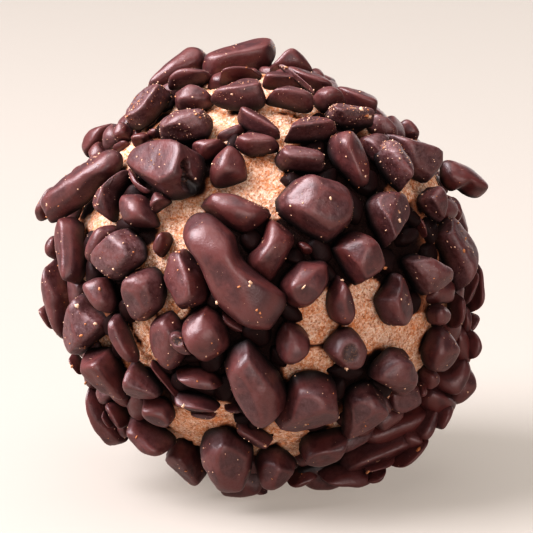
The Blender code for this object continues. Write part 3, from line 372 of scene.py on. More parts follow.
    Plan((-2.1, 10.1, -1.5, 10.75, -0.7, 10.9, 1.25, 10, 1.15, 9.3, -0.9, 8.8, -1.8, 9.4), 2.4, 0.35,
        dust=0.3, crest=(-1.7, 9.9, 0.9, 9.6), falls=(24, 40)),
    Plan((-3.7, 10.3, -2.8, 11.1, -2, 11.5, -1.4, 11, -1.9, 10.2, -2.9, 10), 1.4, -0.3, dust=0.5),
    Plan((8, -15.8, 9.5, -15.3, 10.7, -15.3, 10.6, -15.9, 9.6, -16.4, 8.4, -16.6), 2.2),
    Plan((11.3, -13.2, 12.6, -13.2, 13, -14, 12.3, -14.8, 11.4, -14.4), 2.0),
    Plan((12.6, -8.2, 13.8, -8, 14.4, -9, 13.8, -9.9, 12.9, -9.6), 2.2),
    Plan((-11.6, -12.4, -10.6, -12, -10.2, -13, -10.9, -13.8, -11.5, -13.5), 2.0),
    Plan((12.2, -9.2, 13.2, -9.2, 13.4, -10.2, 12.6, -10.6, 12.1, -10.1), 2.0),
)

# Where the marzipan shows between the nibs of the front: across, up and radius.
BARE_SPOTS = (
    (-3.2, 12.1, 0.9), (1.4, 11.9, 1.2), (0.3, 12.6, 0.5), (-0.2, 7.7, 1.2), (0.1, 6.2, 1.1),
    (-1.8, 6.2, 0.7), (-3.7, 6.1, 0.5), (0.9, 5.0, 0.4), (-6.9, 4.2, 1.1), (-6.0, 4.9, 0.7),
    (-8.5, 0.3, 0.8), (-7.0, 2.0, 0.8), (-9.0, -0.1, 0.5), (-12.6, 3.9, 0.7), (-11.0, 8.3, 0.5),
    (-9.5, -5.2, 0.7), (-9.5, -6.8, 0.6), (-7.2, -3.0, 0.6), (-5.5, -12.9, 0.9), (-3.4, -12.4, 0.7),
    (-7.0, -12.6, 0.5), (1.8, -14.0, 0.8), (4.3, -4.4, 1.1), (2.9, -8.3, 0.4), (4.4, -7.9, 0.5),
    (8.4, -2.4, 0.7), (8.3, -5.3, 1.0), (9.8, -5.7, 0.9), (11.6, -5.7, 0.9), (12.8, -5.1, 0.5),
    (13.0, -8.4, 0.4), (11.3, 6.3, 0.4), (14.0, 7.0, 0.4), (4.6, -3.2, 0.7), (9.3, -4.6, 0.6),
    (-3.9, 12.8, 0.6), (-3.9, 11.7, 0.7), (-3.2, 11.2, 0.5), (-2.4, 12.3, 0.6), (1.3, 12.4, 1.0),
    (2.3, 11.9, 0.8), (1.8, 11.0, 0.8), (0.5, 13.1, 0.5), (3.2, 12.7, 0.4), (0.1, 14.2, 0.4),
    (1.5, 10.3, 0.5), (-1.6, 8.4, 0.4),
)

# Single crumbs and smears: where each one clings, its width, and whether it is orange.
LONE_CRUMBS = (
    (-9.2, 8.7, 0.24, True), (-8.5, 9.25, 0.26, True), (-0.7, -1.35, 0.42, False),
    (-0.85, -1.55, 0.3, False), (-1.75, -1.8, 0.3, True), (-0.2, -3.7, 0.28, True), (0.05, -3.95, 0.3, True),
    (0.2, -4.25, 0.28, True), (3.5, -1.8, 0.46, False), (11.4, 3.8, 0.45, False), (5.75, 5.6, 0.34, False),
    (8.6, 12, 0.5, True), (8.9, 11.9, 0.34, False), (8.2, 13, 0.5, False), (-15.1, -8.05, 0.55, True),
    (-14.4, -9.6, 0.45, True), (-6.65, -11.3, 0.55, False), (8.3, -16.75, 0.8, True),
    (6.75, -8.5, 0.5, False), (6.55, -0.8, 0.34, False), (10.2, -0.3, 0.5, True), (16.6, 1.25, 0.4, True),
    (-14.9, -2.9, 0.4, False), (-14.5, -4.6, 0.36, True), (-14.8, -5.7, 0.36, True),
    (-13.4, -4.4, 0.4, False), (-12.9, -1.75, 0.34, True), (-9.95, -13.6, 0.34, True),
    (-6.2, -16.8, 0.36, True), (0.45, -14.7, 0.34, False), (1.7, 16.1, 0.5, True), (12.6, -14.5, 0.6, True),
    (-6.8, -5.95, 0.34, True), (-3.8, -3.1, 0.5, False), (8.65, 7.2, 0.4, False),
)


def unit(vector: Array) -> Array:
    """Returns the vector, or each row of an array of them, at length 1."""
    return vector / np.linalg.norm(vector, axis=-1, keepdims=True)


def root_of(matrix: Array) -> Array:
    """Returns the square root of a symmetric matrix, none of whose values is below zero."""
    values, vectors = np.linalg.eigh(matrix)
    return (vectors * np.sqrt(np.maximum(values, 1e-6))) @ vectors.T


def grain(points: Array, size: float, seed: int) -> Array:
    """Smooth random values, from -1 to 1.

    Each corner of a cubic lattice has one, and the eight corners of a cell blend by the
    smooth step 3t^2 - 2t^3 along each axis.

    Args:
        points: where the values are wanted, one row each.
        size: the width of a cell.
        seed: chooses the pattern.

    Returns:
        One value for each point.
    """
    scaled = points / size
    cell = np.floor(scaled).astype(np.int64)
    part = scaled - cell
    part = part * part * (3 - 2 * part)
    total = np.zeros(len(points))
    for corner in np.ndindex(2, 2, 2):
        at = cell + corner
        mixed = at[:, 0] * 73856093 ^ at[:, 1] * 19349663 ^ at[:, 2] * 83492791 ^ seed * 2654435761
        mixed = (mixed ^ mixed >> 13) * 1274126177 & 0x7FFFFFFF
        mixed = (mixed ^ mixed >> 15) * 668265263 & 0x7FFFFFFF
        value = (mixed ^ mixed >> 14) / 0x7FFFFFFF * 2 - 1
        total += value * np.prod(np.where(corner, part, 1 - part), axis=1)
    return total


def layered_grain(points: Array, size: float, layers: int, seed: int) -> Array:
    """Grain in layers, each half as coarse and half as strong as the one before.

    Args:
        points: where the values are wanted, one row each.
        size: the width of a cell of the coarsest layer.
        layers: how many there are.
        seed: chooses the pattern.

    Returns:
        One value for each point.
    """
    layer_sum = np.zeros(len(points))
    for layer in range(layers):
        layer_sum += grain(points, size * 0.5**layer, seed + layer) * 0.5**layer
    return layer_sum


def smooth_step(value: Array, start: float, end: float) -> Array:
    """Returns 0 below start and 1 above end, with 3t^2 - 2t^3 in between."""
    t = np.clip((value - start) / (end - start), 0, 1)
    return t * t * (3 - 2 * t)


@dataclass(frozen=True)
class Skin:
    """A surface: points and faces, with values that its finish reads.

    Attributes:
        points: one row for each point.
        quads: the corners of the four-sided faces.
        triangles: the corners of the three-sided ones.
        values: named values, one for each point.
    """

    points: Array
    quads: Array
    triangles: Array
    values: dict[str, Array] = field(default_factory=dict)


def round_grid(rings: int, columns: int) -> tuple[Array, Array, Array]:
    """Directions all round a point, on rings about a sideways axis, and their faces.

    A direction is (cos a, sin a cos b, sin a sin b) for a along the rings and b around
    them, and a point closes either end.

    Args:
        rings: how many rings there are.
        columns: how many points a ring has.

    Returns:
        The directions, the four-sided faces and the three-sided ones.
    """
    along = np.arange(1, rings + 1) * math.pi / (rings + 1)
    around = np.arange(columns) * math.tau / columns
    a, b = np.meshgrid(along, around, indexing="ij")
    shell = np.stack([np.cos(a), np.sin(a) * np.cos(b), np.sin(a) * np.sin(b)], axis=-1)
    directions = np.vstack([shell.reshape(-1, 3), [[1, 0, 0], [-1, 0, 0]]])
    first = np.arange(columns)
    second = np.roll(first, -1)
    start = np.arange(rings - 1)[:, None] * columns
    corners = (start + first, start + first + columns, start + second + columns, start + second)
    quads = np.stack(corners, axis=-1).reshape(-1, 4)
    front = np.full(columns, rings * columns)
    last = (rings - 1) * columns
    fans = [
        np.stack([front, first, second], axis=-1),
        np.stack([last + first, front + 1, last + second], axis=-1),
    ]
    return directions, quads, np.vstack(fans)


def joined(skins: list[Skin]) -> Skin:
    """Several skins as one.

    Args:
        skins: the skins, whose values have the same names.

    Returns:
        The one skin.
    """
    starts = np.cumsum([0] + [len(skin.points) for skin in skins[:-1]])
    names = skins[0].values
    return Skin(
        np.vstack([skin.points for skin in skins]),
        np.vstack([skin.quads + start for skin, start in zip(skins, starts)]),
        np.vstack([skin.triangles + start for skin, start in zip(skins, starts)]),
        {name: np.concatenate([skin.values[name] for skin in skins]) for name in names},
    )


def smooth_outline(corners: Array, steps: int = 10) -> Array:
    """A smooth closed curve through some corners.

    From the corner q to the next, r, it is 0.5 (2q + (r - p) t + (2p - 5q + 4r - s) t^2 +
    (3q - p - 3r + s) t^3), where p is the one before and s the one after.

    Args:
        corners: the corners in order, one row each.
        steps: how many points a stretch has.

    Returns:
        The points of the curve.
    """
    p, q, r, s = (np.roll(corners, shift, axis=0)[:, None, :] for shift in (1, 0, -1, -2))
    t = (np.arange(steps) / steps)[None, :, None]
    cubic = 2 * q + (r - p) * t + (2 * p - 5 * q + 4 * r - s) * t**2
    cubic = cubic + (3 * q - p - 3 * r + s) * t**3
    return (0.5 * cubic).reshape(-1, 2)


def middle_and_spread(outline: Array) -> tuple[Array, Array]:
    """The middle of a flat shape, and the ellipse that is spread out as it is.

    Both are sums over the triangles between the origin and each side, weighed by area.
    An ellipse of half sizes a and b is spread by a^2 / 4 and b^2 / 4.

    Args:
        outline: the points round the shape, in order.

    Returns:
        The middle, and a matrix whose values are the ellipse's squared half sizes.
    """
    ahead = np.roll(outline, -1, axis=0)
    doubled = outline[:, 0] * ahead[:, 1] - outline[:, 1] * ahead[:, 0]
    middle = ((outline + ahead) * doubled[:, None]).sum(axis=0) / (3 * doubled.sum())
    p = outline - middle
    q = ahead - middle
    doubled = p[:, 0] * q[:, 1] - p[:, 1] * q[:, 0]
    pairs = 2 * p[:, :, None] * p[:, None, :] + 2 * q[:, :, None] * q[:, None, :]
    pairs = pairs + p[:, :, None] * q[:, None, :] + q[:, :, None] * p[:, None, :]
    spread = (pairs * doubled[:, None, None]).sum(axis=0) / (12 * doubled.sum())
    return middle, 4 * spread


def reach_round(outline: Array, angles: Array) -> Array:
    """How far a flat shape reaches from the origin at each angle.

    A ray along d meets the side from p to q at (p x q) / (d x (q - p)), and the furthest
    meeting is kept.

    Args:
        outline: the points round the shape.
        angles: the directions of the rays.

    Returns:
        One distance for each angle.
    """
    side = np.roll(outline, -1, axis=0) - outline
    rays = np.stack([np.cos(angles), np.sin(angles)], axis=-1)[:, None, :]
    cross = rays[..., 0] * side[:, 1] - rays[..., 1] * side[:, 0]
    cross = np.where(np.abs(cross) < 1e-9, 1e-9, cross)
    far = (outline[:, 0] * side[:, 1] - outline[:, 1] * side[:, 0]) / cross
    along = (outline[:, 0] * rays[..., 1] - outline[:, 1] * rays[..., 0]) / cross
    met = (far > 0) & (along >= -1e-6) & (along <= 1 + 1e-6)
    return np.maximum(np.where(met, far, 0).max(axis=1), 0.2)


@dataclass(frozen=True)
class Ball:
    """The marzipan ball, as the frame has it.

    Attributes:
        middle: the ball's middle in the frame, in metres.
        radius: its radius.
        floor: how far its middle is above the floor.
        sunk: how far a nib is pressed into it.
    """

    middle: Array
    radius: float
    floor: float
    sunk: float = 0.3

    @classmethod
    def from_frame(cls) -> "Ball":
        """Returns the ball that fills the box of its node."""
        low, high = (np.array(corner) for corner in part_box(BALL))
        middle = (low + high) / 2
        return cls(middle, float(np.mean(high - low)) / 2 / MM, float(middle[2]) / MM)


@dataclass(frozen=True)
class Eye:
    """Where the front is seen from, which the places of the front's nibs refer to.

    Attributes:
        distance: how far it is from the ball's middle.
        elevation: how far above level, in degrees.
    """

    distance: float = 300.0
    elevation: float = 12.0

    @property
    def towards(self) -> Array:
        """The direction from the ball's middle to the eye."""
        tilt = math.radians(self.elevation)
        return np.array([0.0, -math.cos(tilt), math.sin(tilt)])

    @property
    def right(self) -> Array:
        """The direction that the eye sees as across."""
        return np.array([1.0, 0.0, 0.0])

    @property
    def up(self) -> Array:
        """The direction that the eye sees as up."""
        return np.cross(self.towards, self.right)

    @property
    def place(self) -> Array:
        """The eye's place, from the ball's middle."""
        return self.towards * self.distance

    def middle(self, across: float, up: float, distance: float, behind: bool) -> Array:
        """Where a line of sight meets a sphere round the ball's middle.

        With n the line's point nearest the middle, the meeting is before n by the root of
        distance^2 - n^2. Past the rim, where the line misses the sphere, it is n.

        Args:
            across: how far to the right the line passes the middle.
            up: how far above.
            distance: the sphere's radius.
            behind: whether the far meeting is wanted.

        Returns:
            The meeting.
        """
        ray = unit(across * self.right + up * self.up - self.place)
        nearest = self.place - (self.place @ ray) * ray
        spare = max(distance**2 - nearest @ nearest, 0.0)
        return nearest + math.sqrt(spare) * ray * (1 if behind else -1)

    def seen(self, points: Array) -> tuple[Array, Array]:
        """Where points appear: at their offsets across and up, times distance over depth.

        Args:
            points: the points, one row each.

        Returns:
            Where each appears, and how far it is from the eye.
        """
        away = self.distance - points @ self.towards
        flat = np.stack([points @ self.right, points @ self.up], axis=-1)
        return flat * (self.distance / away)[:, None], away


@dataclass(frozen=True)
class Sight:
    """How a seat of the front appears.

    Attributes:
        aim: the middle of the nib's outline, as seen.
        view: the directions that appear as across and up from there, as rows.
        scale: the nib's true size over its seen size.
        back: turns a distance as seen into the one along the ball's surface.
        shift: how far the nib is moved, as seen, so that its outline comes out right.
        stretch: how much it is stretched, to the same end.
    """

    aim: Array
    view: Array
    scale: float
    back: Array
    shift: Array
    stretch: Array

    def moved(self, points: Array) -> Array:
        """Returns points that are given from the nib's middle, stretched and shifted."""
        seen = points @ self.view.T
        return points + (seen @ self.stretch.T + self.shift) @ self.view


@dataclass(frozen=True)
class Seat:
    """The place and size of one nib.

    Attributes:
        middle: its middle, from the ball's.
        axes: two directions along the ball's surface and the one away from it, as rows.
        spread: turns a unit circle along the surface into the nib's rough outline.
        half: half its thickness.
        sight: how it appears, if it is on the front.
    """

    middle: Array
    axes: Array
    spread: Array
    half: float
    sight: Sight | None = None

    def placed(self, local: Array) -> Array:
        """Places the points of a nib on the ball.

        Args:
            local: the points along the seat's axes.

        Returns:
            The same from the ball's middle.
        """
        points = local @ self.axes
        if self.sight:
            points = self.sight.moved(points)
        return self.middle + points

    def on_top(self, across: float, up: float) -> Array:
        """Where a seen point of the nib's top is along the surface.

        Args:
            across: how far to the right it appears.
            up: how far up.

        Returns:
            Its place along the seat's first two axes.
        """
        sight = self.sight
        seen = (np.array([across, up]) - sight.aim) * sight.scale - sight.shift
        seen = np.linalg.solve(np.eye(2) + sight.stretch, seen)
        return sight.back @ (seen - sight.view @ self.axes[2] * self.half)

    @classmethod
    def of_node(cls, node: bpy.types.Object, ball: Ball) -> "Seat":
        """The seat that fills a node of the frame.

        Its axes are those along which the node's points are spread most and least.

        Args:
            node: the node's object.
            ball: the marzipan ball.

        Returns:
            The seat.
        """
        places = np.array([corner.co for corner in node.data.vertices])
        points = (places - ball.middle) / MM
        low, high = points.min(axis=0), points.max(axis=0)
        outward = unit((low + high) / 2)
        beside = unit(np.cross(outward, [0.3, 0.5, 0.8]))
        axes = np.array([beside, np.cross(outward, beside), outward])
        own = points @ axes.T
        shift = (own[:, :2].min(axis=0) + own[:, :2].max(axis=0)) / 2
        flat = own[:, :2] - shift
        turn = np.linalg.eigh(flat.T @ flat)[1]
        halves = np.ptp(flat @ turn, axis=0) / 2
        level = (own[:, 2].min() + own[:, 2].max()) / 2
        middle = shift @ axes[:2] + level * outward
        return cls(middle, axes, (turn * halves) @ turn.T, float(np.ptp(own[:, 2])) / 2)


@dataclass(frozen=True)
class Look:
    """The shape of a nib, measured by its own half sizes.

    Attributes:
        reach: how far it reaches at even angles round it.
        planes: the planes of its faces, each as the vector v for which v p = 1 on it.
        pits: its pits, one row each: the middle as seen, the radius and the depth.
    """

    reach: Array
    planes: Array
    pits: Array


@dataclass(frozen=True)
class Sculptor:
    """Cuts nibs out of chocolate.

    Attributes:
        ball: the marzipan ball.
        eye: where the front is seen from.
        lean: how much narrower a nib is at its top than at its middle.
        least_facing: the cosine of the most that a nib is turned away from the eye.
        most_edge_on: the most of a nib's seen size that its thickness accounts for.
        top_height: the height of a flat top, over half the thickness.
        deepest_fall: how far a face may fall from its ridge, over the thickness.
        painted_gap_shade: the heights between which the shade painted low on a nib fades,
        over half the thickness.
        broad_lumps: the width and depth of broad lumps.
        small_lumps: the width and depth of small ones.
        fittings: how many times a nib of the front is fitted to its outline.
        steps_round: at how many angles a nib's reach is measured.
        light: the way, as seen, that the first face of a ridge looks.
    """

    ball: Ball
    eye: Eye
    lean: float = 0.16
    least_facing: float = 0.72
    most_edge_on: float = 0.8
    top_height: float = 0.94
    deepest_fall: float = 0.62
    painted_gap_shade: tuple[float, float] = (-0.9, 0.0)
    broad_lumps: tuple[float, float] = (1.7, 0.10)
    small_lumps: tuple[float, float] = (0.8, 0.05)
    fittings: int = 3
    steps_round: int = 180
    light: tuple[float, float] = (-1.0, 0.6)

    def turned_up(self, outward: Array, towards: Array) -> Array:
        """The way a nib faces: outward, but turned to the eye if it hardly faces that.

        Args:
            outward: the direction away from the ball.
            towards: the direction to the eye.

        Returns:
            The direction that it faces.
        """
        facing = float(outward @ towards)
        if facing > self.least_facing:
            return outward
        square = unit(outward - facing * towards)
        return square * math.sqrt(1 - self.least_facing**2) + towards * self.least_facing

    def seat_and_outline(self, plan: Plan) -> tuple[Seat, Array]:
        """The seat of a nib of the front, and its outline along the surface.

        The middle and spread of the outline set where the nib sits. What its thickness
        adds to the spread is taken off, and the rest is laid on the ball's surface.

        Args:
            plan: the nib, as seen.

        Returns:
            The seat, and the outline in the seat's own sizes.
        """
        curve = plan.curve
        ahead = np.roll(curve, -1, axis=0)
        if np.sum(curve[:, 0] * ahead[:, 1] - curve[:, 1] * ahead[:, 0]) < 0:
            curve = curve[::-1]
        aim, seen_spread = middle_and_spread(curve)
        distance = self.ball.radius + plan.thick / 2 - self.ball.sunk + plan.lift
        middle = self.eye.middle(aim[0], aim[1], distance, plan.behind)
        sight = self.eye.place - middle
        towards = unit(sight)
        outward = self.turned_up(unit(middle), towards)
        scale = float(np.linalg.norm(sight)) / self.eye.distance
        right = unit(self.eye.right - (self.eye.right @ towards) * towards)
        view = np.array([right, np.cross(towards, right)])
        seen_spread = seen_spread * scale**2
        rim = view @ outward * plan.thick / 2
        edge_on = rim @ np.linalg.solve(seen_spread, rim)
        rim = rim * math.sqrt(min(1.0, self.most_edge_on / max(edge_on, 1e-9)))
        across = np.cross(towards, outward)
        across = self.eye.right if np.linalg.norm(across) < 1e-6 else across
        beside = unit(across)
        facing = float(outward @ towards)
        laid = np.stack([view @ beside, view @ np.cross(towards, beside) * facing], axis=-1)
        back = np.linalg.inv(laid)
        left_over = seen_spread - np.outer(rim, rim)
        root = root_of(seen_spread)
        inverse = np.linalg.inv(root)
        shrink = inverse @ root_of(root @ left_over @ root) @ inverse
        spread = root_of(back @ left_over @ back.T)
        axes = np.array([beside, np.cross(outward, beside), outward])
        sight = Sight(aim, view, scale, back, np.zeros(2), np.zeros((2, 2)))
        seat = Seat(middle, axes, spread, plan.thick / 2, sight)
        flat = (curve - aim) * scale @ shrink.T @ back.T
        return seat, flat @ np.linalg.inv(spread).T

    def crest_planes(self, plan: Plan, seat: Seat, outline: Array) -> list[Array]:
        """The two planes that meet along a nib's ridge.

        A plane that falls at an angle f has the normal (sin f q, cos f), where q points
        along the surface, square to the ridge. At the outline, no plane has fallen
        further than most of the thickness.

        Args:
            plan: the nib, as seen.
            seat: where it sits.
            outline: its outline along the surface, in its own sizes.

        Returns:
            The planes.
        """
        start = seat.on_top(plan.crest[0], plan.crest[1])
        end = seat.on_top(plan.crest[2], plan.crest[3])
        seen_way = np.array([plan.crest[1] - plan.crest[3], plan.crest[2] - plan.crest[0]])
        towards_light = seen_way @ np.array(self.light)
        along = unit(end - start)
        square = np.array([-along[1], along[0]])
        turned = seat.sight.back @ seen_way
        if (square @ turned) * towards_light < 0:
            square = -square
        planes = []
        for side, fall in zip((1, -1), plan.falls):
            edge = np.max(side * (outline @ seat.spread - (start + end) / 2) @ square)
            steepest = math.atan(self.deepest_fall * 2 * seat.half / max(edge, 0.1))
            tilt = min(math.radians(fall), steepest)
            normal = np.append(square * math.sin(tilt) * side, math.cos(tilt))
            height = normal @ np.append((start + end) / 2, seat.half)
            planes.append(self.own_plane(seat, normal, max(height, 0.3 * seat.half)))
        return planes

    def own_plane(self, seat: Seat, normal: Array, height: float) -> Array:
        """Returns a plane of a nib, given in millimetres, in the nib's own sizes."""
        return np.append(seat.spread.T @ normal[:2], seat.half * normal[2]) / height

    def chamfers(self, count: int, reach: Array, rng: np.random.Generator) -> list[Array]:
        """Planes that take off some of a nib's upper corners.

        Each points out at a random angle and meets the side at a random height, so that
        the outline stays whole.

        Args:
            count: how many there are.
            reach: how far the nib reaches round it.
            rng: the source of chance.

        Returns:
            The planes.
        """
        around = (np.arange(count) + rng.uniform(0, 0.8, count)) * math.tau / max(count, 1)
        around = around + rng.uniform(0, math.tau)
        slope = np.radians(rng.uniform(28, 62, count))
        far = np.interp(around % math.tau, self.angles(len(reach)), reach, period=math.tau)
        depth = far * np.cos(slope) + rng.uniform(0.0, 0.5, count) * np.sin(slope)
        normals = [np.cos(slope) * np.cos(around), np.cos(slope) * np.sin(around), np.sin(slope)]
        return list((np.array(normals) / depth).T)

    @staticmethod
    def angles(count: int) -> Array:
        """Returns even angles round a circle."""
        return np.arange(count) * math.tau / count

    def planned_look(self, plan: Plan, rng: np.random.Generator) -> tuple[Seat, Look]:
        """The seat and look of a nib of the front.

        Args:
            plan: the nib, as seen.
            rng: the source of chance.

        Returns:
            The seat and the look.
        """
        seat, outline = self.seat_and_outline(plan)
        reach = reach_round(outline, self.angles(self.steps_round))
        lean = rng.normal(0, 0.09, 2)
        chamfers = self.chamfers(plan.cut.value[1], reach, rng)
        for _ in range(self.fittings):
            planes = [np.array([0.0, 0.0, -1.0])]
            if plan.crest is None:
                planes.append(np.append(lean, 1.0) / self.top_height)
            else:
                planes += self.crest_planes(plan, seat, outline)
            pits = np.array(plan.pits).reshape(-1, 4)
            look = Look(reach, np.array(planes + chamfers), pits)
            seat = self.fitted(plan, seat, look)
        return seat, look

    def fitted(self, plan: Plan, seat: Seat, look: Look) -> Seat:
        """The seat of a nib, moved and stretched so that its outline comes out right.

        What the outline as seen lacks of the plan's along each direction d is set to
        s d + d E g by least squares, with s a shift, E a stretch, and g the nib's
        furthest point along d.

        Args:
            plan: the nib, as seen.
            seat: where it sits.
            look: its outline, faces and pits.

        Returns:
            The better seat.
        """
        sight = seat.sight
        directions = round_grid(15, 32)[0]
        local = self.form(seat, look, plan.cut.value[0], directions)[0]
        seen = (self.eye.seen(seat.placed(local))[0] - sight.aim) * sight.scale
        wanted = (plan.curve - sight.aim) * sight.scale
        around = self.angles(24)
        ways = np.stack([np.cos(around), np.sin(around)], axis=-1)
        furthest = seen[np.argmax(seen @ ways.T, axis=0)]
        missing = (wanted @ ways.T).max(axis=0) - (furthest * ways).sum(axis=1)
        x, y = ways.T
        g, h = furthest.T
        factors = np.column_stack([x, y, x * g, x * h + y * g, y * h])
        shift_x, shift_y, e_xx, e_xy, e_yy = np.linalg.lstsq(factors, missing, rcond=None)[0]
        more = np.eye(2) + np.array([[e_xx, e_xy], [e_xy, e_yy]])
        stretch = more @ (np.eye(2) + sight.stretch) - np.eye(2)
        shift = more @ sight.shift + [shift_x, shift_y]
        return replace(seat, sight=replace(sight, shift=shift, stretch=stretch))

    def chance_look(self, rng: np.random.Generator) -> Look:
        """The look of a nib whose shape is left to chance.

        Its outline has a few straight sides, joined by the rule
        (sum of max(0, cos(angle - side) / distance)^7)^(-1/7).

        Args:
            rng: the source of chance.

        Returns:
            The look.
        """
        angles = self.angles(self.steps_round)
        count = rng.integers(4, 7)
        sides = (np.arange(count) + rng.uniform(-0.3, 0.3, count)) * math.tau / count
        sides = sides + rng.uniform(0, math.tau)
        depth = rng.uniform(0.8, 1.0, count)
        shares = np.maximum(np.cos(angles[:, None] - sides) / depth, 0) ** 7
        reach = np.clip(shares.sum(axis=1) ** (-1 / 7), 0.6, 1.2)
        lean = rng.uniform(0, math.tau)
        slope = rng.uniform(0.1, 0.5)
        planes = [np.array([0.0, 0.0, -1.0])]
        planes.append(np.array([math.cos(lean) * slope, math.sin(lean) * slope, 1.0]))
        if rng.random() < 0.6:
            planes.append(np.array([-math.cos(lean) * slope, -math.sin(lean) * slope, 1.0]))
        planes += self.chamfers(int(rng.integers(2, 5)), reach, rng)
        return Look(reach, np.array(planes), np.zeros((0, 4)))

    def form(self, seat: Seat, look: Look, sharpness: float, directions: Array) -> tuple[Array, Array]:
        """The plain form of a nib, before it is roughened.

        Along a direction d, the surface is at (sum of s^p)^(-1/p). The share s of the
        sides is the length of d along the surface over the reach, with a part of d's
        height added so that the top is narrower. That of another face is its plane's v d.

        Args:
            seat: where it sits.
            look: its outline and faces.
            sharpness: the power p.
            directions: where points are wanted, in the nib's own sizes.

        Returns:
            The points along the seat's axes, and how near each is to an edge.
        """
        around = np.arctan2(directions[:, 1], directions[:, 0]) % math.tau
        outward = np.hypot(directions[:, 0], directions[:, 1])
        count = len(look.reach)
        far = np.interp(around, self.angles(count), look.reach, period=math.tau)
        sides = (1 + 0.6 * self.lean) * outward / far + self.lean * directions[:, 2]
        shares = np.column_stack([sides, directions @ look.planes.T])
        powers = np.maximum(shares, 0) ** sharpness
        total = powers.sum(axis=1)
        own = directions * (total ** (-1 / sharpness))[:, None]
        local = np.column_stack([own[:, :2] @ seat.spread.T, own[:, 2] * seat.half])
        return local, 1 - powers.max(axis=1) / total

    def skin(
        self,
        seat: Seat,
        look: Look,
        sharpness: float,
        dust: float,
        grid: tuple[int, int],
        seed: int,
        painted_shade_all_over: float = 0.0,
    ) -> Skin:
        """The surface of one nib: its form, with lumps, roughness and pits.

        Args:
            seat: where it sits.
            look: its outline, faces and pits.
            sharpness: how sharp its edges are.
            dust: how dusty it is, from 0 to 1.
            grid: how many rings and columns its grid has.
            seed: chooses its roughness.
            painted_shade_all_over: how much shade is painted on it all over, because it lies deep.

        Returns:
            The surface, with how dusty, worn and broken each point is, and how much shade is
            painted on it because it lies deep.
        """
        directions, quads, triangles = round_grid(*grid)
        local, edge = self.form(seat, look, sharpness, directions)
        spot = local + seed * 13.7
        (broad, high), (small, low) = self.broad_lumps, self.small_lumps
        lumps = high * grain(spot, broad, seed) + low * grain(spot, small, seed + 7)
        rough = (0.012 + 0.03 * dust) * layered_grain(spot, 0.42, 2, seed + 3)
        local = local + unit(local) * (lumps + rough)[:, None]
        broken = np.zeros(len(local))
        seen, away = self.eye.seen(seat.placed(local))
        for across, up, radius, depth in look.pits:
            apart = np.hypot(seen[:, 0] - across, seen[:, 1] - up)
            middle = local[np.argmin(np.where(apart < 0.3, away, away + 100 + 10 * apart))]
            far = np.linalg.norm(local - middle, axis=1) / radius
            far = far + 0.25 * grain(spot, 0.45, seed + 11)
            inside = 1 - smooth_step(far, 0.55, 1.1)
            ragged = 1 + 0.5 * layered_grain(spot, 0.3, 2, seed + 5)
            local = local - unit(middle) * (inside * ragged * depth)[:, None]
            broken = np.maximum(broken, inside)
        patchy = 0.5 + 0.3 * layered_grain(spot, 1.4, 2, seed + 20)
        dusty = np.clip(dust * (0.45 + patchy), 0, 1)
        points = seat.placed(local)
        points[:, 2] = np.maximum(points[:, 2], -self.ball.floor)
        # Painted shade: the lower part of each nib, and all of a gap nib, is marked to be painted near
        # black.
        deep = np.maximum(1 - smooth_step(local[:, 2] / seat.half, *self.painted_gap_shade), painted_shade_all_over)
        values = {"dust": dusty, "edge": edge, "broken": broken, "deep": deep}
        return Skin(points, quads, triangles, values)


